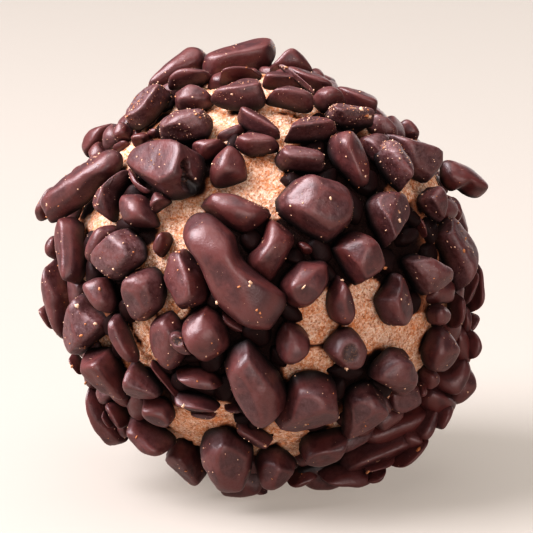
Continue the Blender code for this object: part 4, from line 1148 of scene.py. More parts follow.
@dataclass
class Nodes:
    """Builds a material out of nodes.

    Attributes:
        material: the material.
    """

    material: Material

    @classmethod
    def of(cls, name: str) -> "Nodes":
        """Returns the builder of a new material."""
        material = bpy.data.materials.new(name)
        material.use_nodes = True
        return cls(material)

    @property
    def shader(self) -> bpy.types.Node:
        """The material's shader."""
        return self.material.node_tree.nodes["Principled BSDF"]

    def add(self, kind: str, **settings: object) -> bpy.types.Node:
        """Returns a new node of a kind, with its properties set."""
        node = self.material.node_tree.nodes.new(kind)
        for name, value in settings.items():
            setattr(node, name, value)
        return node

    def link(self, start: Socket, end: Socket) -> None:
        """Joins two sockets."""
        self.material.node_tree.links.new(start, end)

    def value(self, name: str) -> Socket:
        """Returns a named value of the surface."""
        return self.add("ShaderNodeAttribute", attribute_name=name).outputs["Fac"]

    def noise(self, size: float, detail: float, rough: float = 0.55) -> Socket:
        """A noise pattern of a size.

        Args:
            size: how wide a patch is.
            detail: how many finer layers it has.
            rough: how strong the finer layers are.

        Returns:
            The pattern's value.
        """
        place = self.add("ShaderNodeTexCoord").outputs["Object"]
        noise = self.add("ShaderNodeTexNoise")
        noise.inputs["Scale"].default_value = 1 / (size * MM)
        noise.inputs["Detail"].default_value = detail
        noise.inputs["Roughness"].default_value = rough
        self.link(place, noise.inputs["Vector"])
        return noise.outputs["Fac"]

    def ramp(self, value: Socket, start: float, end: float, most: float = 1.0) -> Socket:
        """A value that rises smoothly from 0 to a most.

        Args:
            value: what it depends on.
            start: where it starts to rise.
            end: where it stops.
            most: its highest value.

        Returns:
            The value.
        """
        node = self.add("ShaderNodeMapRange", interpolation_type="SMOOTHSTEP")
        node.inputs["From Min"].default_value = start
        node.inputs["From Max"].default_value = end
        node.inputs["To Max"].default_value = most
        self.link(value, node.inputs["Value"])
        return node.outputs["Result"]

    def math(self, operation: str, first: Socket, second: Socket | float) -> Socket:
        """What a sum of two values comes to, kept from 0 to 1.

        Args:
            operation: what is done with them.
            first: the first value.
            second: the second.

        Returns:
            The outcome.
        """
        node = self.add("ShaderNodeMath", operation=operation, use_clamp=True)
        self.link(first, node.inputs[0])
        if isinstance(second, float):
            node.inputs[1].default_value = second
        else:
            self.link(second, node.inputs[1])
        return node.outputs[0]

    def mix(self, share: Socket, first: Socket | Colour, second: Socket | Colour) -> Socket:
        """A mix of two colours.

        Args:
            share: how much there is of the second.
            first: the first colour, or where it comes from.
            second: the second.

        Returns:
            The mixed colour.
        """
        node = self.add("ShaderNodeMix", data_type="RGBA")
        self.link(share, node.inputs[0])
        for source, socket in ((first, node.inputs[6]), (second, node.inputs[7])):
            if isinstance(source, tuple):
                socket.default_value = (*source, 1.0)
            else:
                self.link(source, socket)
        return node.outputs[2]

    def bump(self, *layers: tuple[Socket, float]) -> None:
        """Roughens the surface.

        Args:
            layers: some patterns, each with its depth.
        """
        normal = None
        for pattern, depth in layers:
            node = self.add("ShaderNodeBump")
            node.inputs["Distance"].default_value = depth * MM
            self.link(pattern, node.inputs["Height"])
            if normal:
                self.link(normal, node.inputs["Normal"])
            normal = node.outputs["Normal"]
        self.link(normal, self.shader.inputs["Normal"])


@dataclass(frozen=True)
class Chocolate:
    """Dark chocolate that was tumbled: satin, worn at its edges and dusty in places.

    Attributes:
        name: the finish's name.
        dark: its colour.
        warm: its colour where it is thin or worn.
        dust: the colour of cocoa dust and scuffs on it.
        painted_gap_shade: the near black painted as shade low between the nibs and in the pits.
        meal: the colour of the marzipan that clings to it.
        roughness: how rough a clean face is.
        dusty_roughness: how rough a dusty face is.
        specular: how strongly it reflects.
    """

    name: str = "dark chocolate"
    dark: Colour = (0.060, 0.018, 0.0185)
    warm: Colour = (0.150, 0.041, 0.035)
    dust: Colour = (0.135, 0.074, 0.075)
    painted_gap_shade: Colour = (0.004, 0.003, 0.003)
    meal: Colour = (0.50, 0.235, 0.115)
    roughness: float = 0.38
    dusty_roughness: float = 0.55
    specular: float = 0.6

    def material(self) -> Material:
        """Makes the finish.

        Returns:
            The material.
        """
        nodes = Nodes.of(self.name)
        shader = nodes.shader
        patches = nodes.ramp(nodes.noise(1.6, 3), 0.40, 0.68)
        worn = nodes.ramp(nodes.value("edge"), 0.18, 0.5, 0.55)
        warm = nodes.math("MAXIMUM", nodes.math("MULTIPLY", patches, 0.6), worn)
        colour = nodes.mix(warm, self.dark, self.warm)
        specks = nodes.ramp(nodes.noise(0.16, 2, 0.7), 0.50, 0.72)
        smears = nodes.ramp(nodes.noise(0.4, 4, 0.7), 0.30, 0.74)
        cover = nodes.math("MULTIPLY", nodes.value("dust"), smears)
        dusty = nodes.math("MULTIPLY", nodes.value("dust"), nodes.math("ADD", specks, smears))
        dusty = nodes.math("MAXIMUM", dusty, cover)
        colour = nodes.mix(dusty, colour, self.dust)
        broken = nodes.value("broken")
        # Painted shade: the pits are painted towards near black.
        colour = nodes.mix(nodes.math("MULTIPLY", broken, 0.7), colour, self.painted_gap_shade)
        meal = nodes.math("MULTIPLY", nodes.math("MULTIPLY", broken, specks), 0.35)
        colour = nodes.mix(meal, colour, self.meal)
        # Painted shade: the lower parts of the nibs, and the gap nibs, are painted near black.
        colour = nodes.mix(nodes.ramp(nodes.value("deep"), 0.1, 1.0, 0.95), colour, self.painted_gap_shade)
        nodes.link(colour, shader.inputs["Base Color"])
        rough = nodes.add("ShaderNodeMapRange")
        rough.inputs["To Min"].default_value = self.roughness
        rough.inputs["To Max"].default_value = self.dusty_roughness
        pits_and_gap_shade = nodes.math("MAXIMUM", nodes.value("broken"), nodes.value("deep"))
        nodes.link(nodes.math("MAXIMUM", dusty, pits_and_gap_shade), rough.inputs["Value"])
        nodes.link(rough.outputs["Result"], shader.inputs["Roughness"])
        shader.inputs["Specular IOR Level"].default_value = self.specular
        nodes.bump((nodes.noise(0.5, 3, 0.6), 0.026), (nodes.noise(0.14, 2, 0.6), 0.020))
        return nodes.material


@dataclass(frozen=True)
class Marzipan:
    """Marzipan with its outer grain showing.

    Attributes:
        pale: its colour on a high grain.
        tan: its common colour.
        deep: its colour in a pore, and the painted shade just round the nibs.
        nib_shade: the near black painted as shade under and between the nibs.
        roughness: how rough it is.
    """

    pale: Colour = (0.82, 0.605, 0.48)
    tan: Colour = (0.62, 0.25, 0.11)
    deep: Colour = (0.36, 0.12, 0.045)
    nib_shade: Colour = (0.024, 0.009, 0.007)
    roughness: float = 0.75

    def material(self) -> Material:
        """Makes the finish.

        Returns:
            The material.
        """
        nodes = Nodes.of("marzipan")
        shader = nodes.shader
        broad = nodes.ramp(nodes.noise(1.3, 3, 0.6), 0.36, 0.62)
        grains = nodes.ramp(nodes.noise(0.20, 3, 0.7), 0.42, 0.58)
        specks = nodes.ramp(nodes.noise(0.26, 2, 0.7), 0.52, 0.64)
        light = nodes.math("ADD", nodes.math("MULTIPLY", broad, 0.4), nodes.math("MULTIPLY", grains, 0.6))
        colour = nodes.mix(light, self.tan, self.pale)
        colour = nodes.mix(nodes.math("MULTIPLY", specks, 0.7), colour, self.deep)
        # Painted shade: round and between the nibs the marzipan is painted deep brown, then near black.
        painted_shade_share = nodes.value("painted_shade_share")
        colour = nodes.mix(nodes.ramp(painted_shade_share, 0.0, 0.6, 0.8), colour, self.deep)
        colour = nodes.mix(nodes.ramp(painted_shade_share, 0.4, 1.0), colour, self.nib_shade)
        nodes.link(colour, shader.inputs["Base Color"])
        shader.inputs["Roughness"].default_value = self.roughness
        shader.inputs["Specular IOR Level"].default_value = 0.2
        shader.inputs["Subsurface Weight"].default_value = 0.15
        shader.inputs["Subsurface Radius"].default_value = (1.0, 0.5, 0.25)
        shader.inputs["Subsurface Scale"].default_value = 1.2 * MM
        nodes.bump((nodes.noise(0.30, 3, 0.65), 0.10), (grains, 0.04))
        return nodes.material


@dataclass(frozen=True)
class Crumb:
    """Crumbs of marzipan, from white almond to orange skin.

    Attributes:
        pale: the colour of almond.
        orange: the colour of the skin.
        roughness: how rough they are.
    """

    pale: Colour = (0.60, 0.40, 0.28)
    orange: Colour = (0.42, 0.17, 0.07)
    roughness: float = 0.6

    def material(self) -> Material:
        """Makes the finish.

        Returns:
            The material.
        """
        nodes = Nodes.of("marzipan crumb")
        colour = nodes.mix(nodes.value("orange"), self.pale, self.orange)
        nodes.link(colour, nodes.shader.inputs["Base Color"])
        nodes.shader.inputs["Roughness"].default_value = self.roughness
        return nodes.material


@dataclass(frozen=True)
class Card:
    """The pale card that the praline stands on, lit softly from below as well.

    Attributes:
        colour: its colour.
        glow: the colour of the light that comes through it.
        glow_strength: how strong that light is.
        roughness: how rough it is.
    """

    colour: Colour = (0.23, 0.21, 0.19)
    glow: Colour = (1.0, 0.885, 0.79)
    glow_strength: float = 0.278
    roughness: float = 0.9

    def material(self) -> Material:
        """Makes the finish.

        Returns:
            The material.
        """
        nodes = Nodes.of("pale card")
        nodes.shader.inputs["Base Color"].default_value = (*self.colour, 1.0)
        nodes.shader.inputs["Emission Color"].default_value = (*self.glow, 1.0)
        nodes.shader.inputs["Emission Strength"].default_value = self.glow_strength
        nodes.shader.inputs["Roughness"].default_value = self.roughness
        nodes.shader.inputs["Specular IOR Level"].default_value = 0.2
        return nodes.material


def make_piece(name: str, skin: Skin, ball: Ball, material: Material) -> bpy.types.Object:
    """Makes a mesh of a skin, and an object at the origin that shows it.

    Args:
        name: the piece's name.
        skin: its surface.
        ball: the marzipan ball, whose middle the skin is measured from.
        material: its finish.

    Returns:
        The object.
    """
    mesh = bpy.data.meshes.new(name)
    places = ball.middle + skin.points * MM
    mesh.vertices.add(len(places))
    mesh.vertices.foreach_set("co", places.ravel())
    corners = np.concatenate([skin.quads.ravel(), skin.triangles.ravel()])
    mesh.loops.add(len(corners))
    mesh.loops.foreach_set("vertex_index", corners)
    quad_starts = np.arange(len(skin.quads)) * 4
    triangle_starts = skin.quads.size + np.arange(len(skin.triangles)) * 3
    mesh.polygons.add(len(quad_starts) + len(triangle_starts))
    mesh.polygons.foreach_set("loop_start", np.concatenate([quad_starts, triangle_starts]))
    mesh.update(calc_edges=True)
    mesh.validate()
    mesh.shade_smooth()
    for value_name, values in skin.values.items():
        layer = mesh.attributes.new(value_name, "FLOAT", "POINT")
        layer.data.foreach_set("value", values.astype(np.float32))
    mesh.materials.append(material)
    piece = bpy.data.objects.new(name, mesh)
    bpy.context.scene.collection.objects.link(piece)
    LOG.info("%s: %d triangles", name, 2 * len(skin.quads) + len(skin.triangles))
    return piece


@dataclass
class MarzipanBall:
    """The ball of marzipan, with a grainy, pitted surface.

    Attributes:
        ball: the ball in the frame.
        rings: how many rings its grid has.
        columns: how many points a ring has.
        unevenness: how high its broad waves are.
        wave: how wide they are.
        relief: how deep its grain is.
        grain_size: how wide its coarsest grains are.
        pore_size: how wide its coarsest pores are.
        pore_depth: how deep they are.
    """

    ball: Ball
    rings: int = 200
    columns: int = 400
    unevenness: float = 0.10
    wave: float = 7.0
    relief: float = 0.22
    grain_size: float = 1.5
    pore_size: float = 0.8
    pore_depth: float = 0.45

    def skin(self, coat: "NibCoat") -> Skin:
        """The ball's surface.

        It is round but for broad waves, grain that 1 - |g| folds into round tops and
        sharp creases, and pores.

        Args:
            coat: the nibs, round which shade is painted on the marzipan.

        Returns:
            The surface.
        """
        directions, quads, triangles = round_grid(self.rings, self.columns)
        points = directions * self.ball.radius
        waves = self.unevenness * grain(points, self.wave, 5)
        lumps = 1 - np.abs(layered_grain(points, self.grain_size, 4, 60))
        pores = np.minimum(layered_grain(points, self.pore_size, 3, 90) + 0.35, 0)
        height = waves + self.relief * (lumps - 0.9) + self.pore_depth * pores
        places = directions * (self.ball.radius + height)[:, None]
        return Skin(places, quads, triangles, {"painted_shade_share": coat.painted_shade_share(directions)})

    def build(self, material: Material, coat: "NibCoat") -> bpy.types.Object:
        """Makes the ball.

        Args:
            material: its finish.
            coat: the nibs, round which shade is painted on it.

        Returns:
            The piece.
        """
        piece = make_piece("grainy_marzipan", self.skin(coat), self.ball, material)
        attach(piece, BODY)
        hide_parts(BALL)
        return piece


@dataclass(frozen=True)
class Layer:
    """Smaller nibs that fill the room between larger ones.

    Attributes:
        name: the name of their piece.
        facing: the least and the most that their places face the eye.
        grid: rings and columns of each.
        most: the most that there are.
        widest: half the width of the widest.
        least_room: the least room that one needs round its middle.
        overlap: how far one may reach under its neighbours.
        thickness: the least and the most thickness.
        lean: how far they lean over, as a tangent.
        bare: how often a place is left bare instead.
        painted_shade_all_over: how much shade is painted on them all over, from 0 to 1.
    """

    name: str
    facing: tuple[float, float]
    grid: tuple[int, int]
    most: int
    widest: float
    least_room: float
    overlap: float
    thickness: tuple[float, float]
    lean: float = 0.0
    bare: float = 0.0
    painted_shade_all_over: float = 0.0


@dataclass
class NibCoat:
    """The broken chocolate all round the ball.

    Attributes:
        sculptor: what cuts the nibs.
        nodes: the frame's nodes.
        own_grid: rings and columns of a nib of the front with its own node.
        far_grid: rings and columns of one that the front doesn't show.
        small_grid: rings and columns of a smaller nib of the front.
        rim_step: how far a nib past the rim steps back behind the one before.
        gap_layer: the nibs deep in the gaps of the front, with shade painted on them all over.
        rim_layer: the smaller nibs round the rim of the front.
        far_layer: the smaller nibs of the far side.
        rim_margin: how far a chance nib stays inside the planned nibs' outer edge.
        nib_shade_reach: the room from a nib's edge in which the shade painted round it fades.
        front_facing: how far a place faces the eye where the front's painted shade comes in.
        bare_reach: the room round a bare spot in which that painted shade comes in.
        far_sharpness: how sharp the edges of the far side's nodes are.
        layer_sharpness: how sharp the edges of a layer's nibs are.
        spots: at how many places a layer looks for room.
        foot_room: how far above the floor these are, at the least.
        seed: chooses what is left to chance.
    """

    sculptor: Sculptor
    nodes: dict[str, bpy.types.Object]
    own_grid: tuple[int, int] = (41, 84)
    far_grid: tuple[int, int] = (27, 56)
    small_grid: tuple[int, int] = (21, 44)
    rim_step: float = 1.5
    # The gap nibs have shade painted on them all over.
    gap_layer: Layer = Layer(
        "nibs_in_the_gaps", (0.5, 1.0), (9, 20), 150, 1.2, 0.4, 0.4, (0.8, 1.3), painted_shade_all_over=0.8
    )
    rim_layer: Layer = Layer(
        "small_rim_nibs", (-0.10, 0.5), (13, 28), 120, 1.5, 0.5, 0.35, (0.9, 1.8), lean=0.12
    )
    far_layer: Layer = Layer(
        "small_far_nibs", (-1.0, -0.10), (13, 28), 190, 2.3, 0.62, 0.2, (1.0, 3.2), 0.16, 0.12
    )
    rim_margin: float = 0.45
    nib_shade_reach: tuple[float, float] = (-1.1, -0.4)
    front_facing: tuple[float, float] = (0.45, 0.65)
    bare_reach: tuple[float, float] = (0.65, 0.95)
    far_sharpness: float = 6.0
    layer_sharpness: float = 5.5
    spots: int = 16000
    foot_room: float = 1.2
    seed: int = 11
    seats: list[Seat] = field(default_factory=list)
    skins: list[Skin] = field(default_factory=list)

    def build(self, material: Material, unlit: Material) -> list[bpy.types.Object]:
        """Makes all the nibs.

        Args:
            material: their finish.
            unlit: the finish of those deep in the gaps.

        Returns:
            Their pieces.
        """
        pieces = self.front_nibs(material) + self.far_nibs(material)
        small = [self.planned_skin(plan, number) for number, plan in enumerate(SMALL_PLANS)]
        pieces.append(self.dress("small_front_nibs", joined(small), material))
        for layer in (self.rim_layer, self.gap_layer, self.far_layer):
            finish = unlit if layer.painted_shade_all_over else material
            pieces.append(self.dress(layer.name, joined(self.fillers(layer)), finish))
        return pieces

    def dress(
        self, name: str, skin: Skin, material: Material, node: str | None = None
    ) -> bpy.types.Object:
        """Makes a piece of chocolate that rides with the frame.

        Args:
            name: the piece's name.
            skin: its surface.
            material: its finish.
            node: the node that it stands for, if there is one.

        Returns:
            The piece.
        """
        self.skins.append(skin)
        piece = make_piece(name, skin, self.sculptor.ball, material)
        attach(piece, BODY)
        if node:
            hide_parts(node)
        return piece

    def front_nibs(self, material: Material) -> list[bpy.types.Object]:
        """Makes the nibs of the front that have nodes of their own.

        Args:
            material: their finish.

        Returns:
            Their pieces.
        """
        pieces = []
        for number, (node, plan) in enumerate(NODE_PLANS.items()):
            rng = np.random.default_rng([self.seed, number])
            seat, look = self.sculptor.planned_look(plan, rng)
            skin = self.sculptor.skin(
                seat, look, plan.cut.value[0], plan.dust, self.own_grid, 100 + number
            )
            low, high = (np.array(corner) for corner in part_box(node))
            apart = seat.middle - ((low + high) / 2 - self.sculptor.ball.middle) / MM
            LOG.info("%s is %.2f mm from its node's middle", node, np.linalg.norm(apart))
            self.seats.append(seat)
            pieces.append(self.dress(node.replace("nib_", "cut_"), skin, material, node))
        return pieces

    def far_nibs(self, material: Material) -> list[bpy.types.Object]:
        """Makes the nibs with nodes of their own that the front doesn't show.

        Args:
            material: their finish.

        Returns:
            Their pieces.
        """
        pieces = []
        rest = [name for name in sorted(self.nodes) if name not in NODE_PLANS and name != BALL]
        for number, node in enumerate(rest):
            rng = np.random.default_rng([self.seed, 500 + number])
            seat = Seat.of_node(self.nodes[node], self.sculptor.ball)
            look = self.sculptor.chance_look(rng)
            dust = float(rng.choice([0.1, 0.3, 0.7]))
            skin = self.sculptor.skin(
                seat, look, self.far_sharpness, dust, self.far_grid, 300 + number
            )
            self.seats.append(seat)
            pieces.append(self.dress(node.replace("nib_", "cut_"), skin, material, node))
        return pieces

    def planned_skin(self, plan: Plan, number: int) -> Skin:
        """The surface of a smaller nib of the front.

        Those past the rim step back in turn, so that they don't form a row.

        Args:
            plan: how it looks.
            number: its number.

        Returns:
            Its surface.
        """
        rng = np.random.default_rng([self.seed, 1000 + number])
        seat, look = self.sculptor.planned_look(plan, rng)
        if plan.behind:
            setback = self.rim_step * (number % 3)
            seat = replace(seat, middle=seat.middle - self.sculptor.eye.towards * setback)
        self.seats.append(seat)
        return self.sculptor.skin(
            seat, look, plan.cut.value[0], plan.dust, self.small_grid, 500 + number
        )

    def silhouette(self) -> Array:
        """How far the planned nibs reach, as seen.

        Returns:
            Their reach at even angles round the ball.
        """
        plans = [*NODE_PLANS.values(), *SMALL_PLANS]
        seen = np.vstack([plan.curve for plan in plans])
        count = 72
        place = (np.arctan2(seen[:, 1], seen[:, 0]) % math.tau) / math.tau * count
        reach = np.full(count, self.sculptor.ball.radius)
        np.maximum.at(reach, place.astype(int) % count, np.linalg.norm(seen, axis=1))
        return reach

    def head_room(self, spots: Array, half: float) -> Array:
        """How thick a nib may be at each spot without showing past the planned ones.

        A nib at an angle a from the line of sight spans a - h to a + h, where h is its
        half width over the radius. Its top, at a distance r, appears at r sin b, where b
        is the angle of that span nearest to 90 degrees.

        Args:
            spots: directions from the ball's middle.
            half: half the nib's width.

        Returns:
            The thickness at each spot.
        """
        eye, ball = self.sculptor.eye, self.sculptor.ball
        angle = np.arccos(np.clip(spots @ eye.towards, -1, 1))
        span = half / ball.radius
        nearest = np.clip(math.pi / 2, angle - span, angle + span)
        round_it = np.arctan2(spots @ eye.up, spots @ eye.right) % math.tau
        reach = self.silhouette()
        far = np.interp(round_it, self.sculptor.angles(len(reach)), reach, period=math.tau)
        return (far - self.rim_margin) / np.sin(nearest) - ball.radius + ball.sunk

    def fillers(self, layer: Layer) -> list[Skin]:
        """The nibs of one layer.

        Each goes where there is the most room: the least distance to any nib so far, and
        to a bare spot of the front.

        Args:
            layer: how large and how many they are.

        Returns:
            Their surfaces.
        """
        sculptor = self.sculptor
        ball = sculptor.ball
        count = self.spots
        turns = np.arange(count) * math.pi * (3 - math.sqrt(5))
        level = 1 - (2 * np.arange(count) + 1) / count
        ring = np.sqrt(1 - level**2)
        spots = np.stack([ring * np.cos(turns), ring * np.sin(turns), level], axis=-1)
        facing = spots @ sculptor.eye.towards
        spots = spots[(facing > layer.facing[0]) & (facing < layer.facing[1])]
        spots = spots[spots[:, 2] * ball.radius > self.foot_room - ball.floor]
        head_room = self.head_room(spots, layer.widest)
        spots = spots[head_room > layer.thickness[0]]
        head_room = head_room[head_room > layer.thickness[0]]
        room = np.full(len(spots), FAR_OFF)
        for seat in self.seats:
            room = np.minimum(room, self.room_round(seat, spots))
        if layer != self.far_layer:
            room = np.minimum(room, self.bare_room(spots) - 1.6 * layer.overlap)
        skins = []
        for number in range(layer.most):
            best = int(np.argmax(room))
            if room[best] < layer.least_room:
                break
            rng = np.random.default_rng([self.seed, 2000 + number, layer.most])
            outward = spots[best]
            half = min(room[best] * rng.uniform(0.95, 1.1) + layer.overlap, layer.widest)
            least, most = layer.thickness
            thick = min(np.clip(half * rng.uniform(0.8, 1.6), least, most), head_room[best])
            facing = unit(outward + layer.lean * rng.normal(size=3))
            beside = unit(np.cross(facing, rng.normal(size=3)))
            axes = np.array([beside, np.cross(facing, beside), facing])
            aspect = rng.uniform(0.72, 1.4)
            middle = outward * (ball.radius - ball.sunk + thick / 2)
            spread = np.diag([half * aspect, half / aspect])
            seat = Seat(middle, axes, spread, thick / 2)
            room = np.minimum(room, self.room_round(seat, spots))
            if rng.random() < layer.bare:
                continue
            self.seats.append(seat)
            dust = float(rng.choice([0.1, 0.25, 0.6]))
            look = sculptor.chance_look(rng)
            sharpness, pattern = self.layer_sharpness, 700 + number
            skins.append(
                sculptor.skin(seat, look, sharpness, dust, layer.grid, pattern, layer.painted_shade_all_over)
            )
        LOG.info("%s: %d nibs", layer.name, len(skins))
        return skins

    def bare_room(self, spots: Array) -> Array:
        """How far outside the nearest bare spot of the front some spots appear.

        Args:
            spots: directions from the ball's middle.

        Returns:
            One distance for each.
        """
        seen = self.sculptor.eye.seen(spots * self.sculptor.ball.radius)[0]
        bare = np.array(BARE_SPOTS)
        apart = np.linalg.norm(seen[:, None, :] - bare[None, :, :2], axis=-1)
        return (apart - bare[:, 2]).min(axis=1)

    def painted_shade_share(self, spots: Array) -> Array:
        """How much shade is painted on the marzipan at each spot.

        It is 1 under a nib and fades out in the room round it. On the front, the shade is
        painted everywhere but in the bare spots.

        Args:
            spots: directions from the ball's middle.

        Returns:
            The share at each spot, from 0 to 1.
        """
        room = np.full(len(spots), FAR_OFF)
        for seat in self.seats:
            room = np.minimum(room, self.room_round(seat, spots))
        # Painted shade: darkest under each nib and fading in the room round it, and on the front everywhere
        # but the bare spots.
        nib_shade = 1 - smooth_step(room, *self.nib_shade_reach)
        front = smooth_step(spots @ self.sculptor.eye.towards, *self.front_facing)
        between = smooth_step(self.bare_room(spots), *self.bare_reach)
        return np.maximum(nib_shade, front * between)

    def room_round(self, seat: Seat, spots: Array) -> Array:
        """The room between a nib's edge and each spot on the ball.

        It is |f| (1 - 1/m), with f the offset along the surface and m its length in the
        nib's own sizes.

        Args:
            seat: where the nib sits.
            spots: directions from the ball's middle.

        Returns:
            The room at each.
        """
        offset = spots * np.linalg.norm(seat.middle) - seat.middle
        flat = offset @ seat.axes[:2].T
        measure = np.linalg.norm(np.linalg.solve(seat.spread, flat.T), axis=0)
        room = np.linalg.norm(flat, axis=1) * (1 - 1 / np.maximum(measure, 1e-6))
        return np.where(spots @ unit(seat.middle) > 0.5, room, FAR_OFF)


@dataclass
class Crumbs:
    """Crumbs of marzipan and specks of almond that cling to the chocolate.

    Attributes:
        ball: the marzipan ball.
        eye: where the front is seen from.
        count: how many there are besides the single ones.
        finest: how wide the finest are.
        spread: how much wider the widest are.
        orange_share: how many of them are orange.
        grid: rings and columns of each.
        seed: chooses their places.
    """

    ball: Ball
    eye: Eye
    count: int = 4000
    finest: float = 0.055
    spread: float = 0.18
    orange_share: float = 0.3
    grid: tuple[int, int] = (3, 7)
    seed: int = 77

    def seats(self, coat: Array, dusty: Array) -> tuple[Array, Array, Array]:
        """Where the crumbs cling.

        A single crumb takes the point nearest the eye within 0.3 mm of where it is
        wanted. The rest take points at random, the dustier and higher the likelier.

        Args:
            coat: all points of the chocolate.
            dusty: how dusty each is.

        Returns:
            The crumbs' places, widths and how orange they are.
        """
        rng = np.random.default_rng(self.seed)
        seen, away = self.eye.seen(coat)
        lone = np.array([crumb[:3] for crumb in LONE_CRUMBS])
        apart = np.linalg.norm(seen[None, :, :] - lone[:, None, :2], axis=-1)
        reach = np.where(apart < 0.3, away, away + 100 + 10 * apart)
        first = reach.argmin(axis=1)
        likely = (0.12 + dusty) * (np.linalg.norm(coat, axis=1) > self.ball.radius + 0.5)
        likely *= 0.45 + smooth_step(unit(coat)[:, 2], 0.1, 0.8)
        others = rng.choice(len(coat), self.count, replace=False, p=likely / likely.sum())
        chance_widths = self.finest + self.spread * rng.random(self.count) ** 4
        widths = np.concatenate([lone[:, 2], chance_widths])
        orange = np.array([float(crumb[3]) for crumb in LONE_CRUMBS])
        orange = np.concatenate([orange, (rng.random(self.count) < self.orange_share).astype(float)])
        places = coat[np.concatenate([first, others])]
        return places, widths, orange

    def skin(self, coat: Array, dusty: Array) -> Skin:
        """The crumbs' surfaces.

        Each is a round grid of few faces, stretched and with every corner moved in or out
        by chance.

        Args:
            coat: all points of the chocolate.
            dusty: how dusty each is.

        Returns:
            The surface of all of them.
        """
        places, widths, orange = self.seats(coat, dusty)
        rng = np.random.default_rng(self.seed + 1)
        directions, quads, triangles = round_grid(*self.grid)
        count = len(places)
        turns = np.linalg.qr(rng.normal(size=(count, 3, 3)))[0]
        turns = turns * np.sign(np.linalg.det(turns))[:, None, None]
        stretch = rng.uniform(0.35, 1.15, (count, 1, 3))
        ragged = rng.uniform(0.55, 1.2, (count, len(directions), 1))
        shapes = directions * stretch * ragged * (widths / 2)[:, None, None]
        points = places[:, None, :] + shapes @ turns
        points[..., 2] = np.maximum(points[..., 2], -self.ball.floor)
        starts = np.arange(count)[:, None, None] * len(directions)
        tone = np.clip(orange + rng.normal(0, 0.15, count), 0, 1)
        return Skin(
            points.reshape(-1, 3),
            (quads + starts).reshape(-1, 4),
            (triangles + starts).reshape(-1, 3),
            {"orange": np.repeat(tone, len(directions))},
        )

    def build(self, skins: list[Skin], material: Material) -> bpy.types.Object:
        """Makes the crumbs.

        Args:
            skins: the chocolate that they cling to.
            material: their finish.

        Returns:
            Their piece.
        """
        coat = np.vstack([skin.points for skin in skins])
        dusty = np.concatenate([skin.values["dust"] for skin in skins])
        piece = make_piece("clinging_crumbs", self.skin(coat, dusty), self.ball, material)
        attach(piece, BODY)
        return piece


@dataclass(frozen=True)
class Lamp:
    """A soft lamp that faces the praline.

    Attributes:
        name: its name.
        way: the direction from the praline to it.
        distance: how far away it is, in metres.
        width: its width, in metres.
        power: its power, in watts.
        colour: its colour.
    """

    name: str
    way: tuple[float, float, float]
    distance: float
    width: float
    power: float
    colour: Colour = (1.0, 1.0, 1.0)

    def place(self, middle: Array) -> None:
        """Puts the lamp into the scene.

        Args:
            middle: what it faces.
        """
        light = bpy.data.lights.new(self.name, "AREA")
        light.shape = "DISK"
        light.size = self.width
        light.energy = self.power
        light.color = self.colour
        lamp = bpy.data.objects.new(self.name, light)
        back = unit(np.array(self.way))
        lamp.matrix_world = looking(middle + back * self.distance, back)
        bpy.context.scene.collection.objects.link(lamp)


def looking(place: Array, back: Array) -> Matrix:
    """The placement of a camera or lamp.

    Args:
        place: where it is.
        back: the direction opposite to where it looks.

    Returns:
        The placement, with its top towards the sky.
    """
    right = unit(np.cross([0.0, 0.0, 1.0], back))
    turned = np.eye(4)
    turned[:3, :3] = np.column_stack([right, np.cross(back, right), back])
    turned[:3, 3] = place
    return Matrix(turned.tolist())


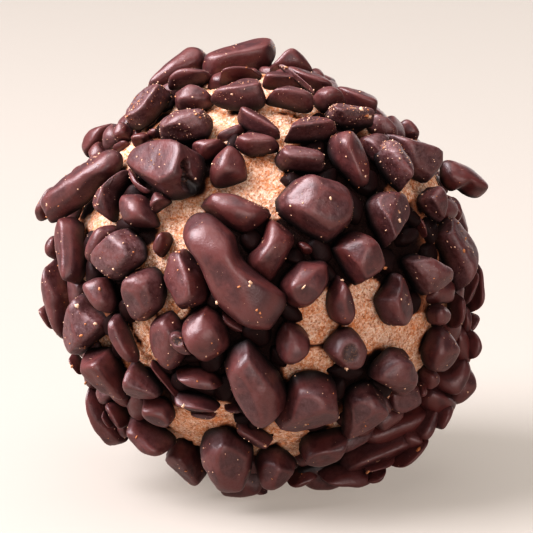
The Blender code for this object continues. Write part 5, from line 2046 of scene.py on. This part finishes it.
@dataclass
class Studio:
    """The floor, the lamps, the light all round and the camera.

    Attributes:
        ball: the marzipan ball.
        eye: where the front is seen from.
        field_width: how much the camera sees across at the ball.
        aside: how far the camera stands to the right of the ball.
        floor_width: the floor's width, in metres.
        glow: the colour of the light all round.
        glow_strength: its strength.
        lamps: the lamps.
    """

    ball: Ball
    eye: Eye
    field_width: float = 43.1
    aside: float = 0.36
    floor_width: float = 3.0
    glow: Colour = (0.88, 0.95, 1.0)
    glow_strength: float = 0.22
    lamps: tuple[Lamp, ...] = (
        Lamp("window", (-0.68, -0.18, 0.71), 0.5, 0.45, 6.0, (0.95, 0.94, 1.0)),
        Lamp("ceiling", (-0.05, -0.10, 0.99), 0.6, 0.8, 2.4, (1.0, 0.98, 0.97)),
        Lamp("backdrop", (0.45, 0.87, 0.20), 0.6, 0.4, 0.6, (1.0, 0.96, 0.93)),
        Lamp("reflector", (0.30, -0.95, 0.08), 0.4, 0.30, 0.85, (1.0, 0.92, 0.90)),
    )

    def build(self, card: Material) -> None:
        """Sets up everything that isn't the praline.

        Args:
            card: the floor's finish.
        """
        half = self.floor_width / 2
        mesh = bpy.data.meshes.new("floor")
        corners = [(-half, -half, 0), (half, -half, 0), (half, half, 0), (-half, half, 0)]
        mesh.from_pydata(corners, [], [(0, 1, 2, 3)])
        mesh.materials.append(card)
        floor = bpy.data.objects.new("floor", mesh)
        bpy.context.scene.collection.objects.link(floor)
        for lamp in self.lamps:
            lamp.place(self.ball.middle)
        self.light_all_round()
        self.camera()
        bpy.context.scene.view_settings.view_transform = "Standard"
        bpy.context.scene.view_settings.look = "High Contrast"
        LOG.info("studio: %d lamps", len(self.lamps))

    def light_all_round(self) -> None:
        """Lights the scene evenly from everywhere."""
        world = bpy.data.worlds.new("glow")
        world.use_nodes = True
        shade = world.node_tree.nodes["Background"]
        shade.inputs["Color"].default_value = (*self.glow, 1.0)
        shade.inputs["Strength"].default_value = self.glow_strength
        bpy.context.scene.world = world

    def camera(self) -> None:
        """Places the camera."""
        data = bpy.data.cameras.new("camera")
        data.angle = 2 * math.atan(self.field_width / 2 / self.eye.distance)
        data.clip_start = 0.01
        data.clip_end = 10.0
        camera = bpy.data.objects.new("camera", data)
        aside = self.eye.right * self.aside
        place = self.ball.middle + (self.eye.place + aside) * MM
        camera.matrix_world = looking(place, self.eye.towards)
        bpy.context.scene.collection.objects.link(camera)
        bpy.context.scene.camera = camera


def main() -> None:
    """Builds the praline round its frame."""
    logging.basicConfig(level=logging.INFO, format="%(name)s: %(message)s")
    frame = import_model()
    ball = Ball.from_frame()
    eye = Eye()
    marzipan = Marzipan().material()
    coat = NibCoat(Sculptor(ball, eye), frame["nodes"])
    # The gap nibs' copy of the chocolate reflects less, so that with their painted shade they look unlit.
    coat.build(Chocolate().material(), Chocolate("unlit chocolate", specular=0.15).material())
    MarzipanBall(ball).build(marzipan, coat)
    Crumbs(ball, eye).build(coat.skins, Crumb().material())
    Studio(ball, eye).build(Card().material())


if __name__ == "__main__":
    main()
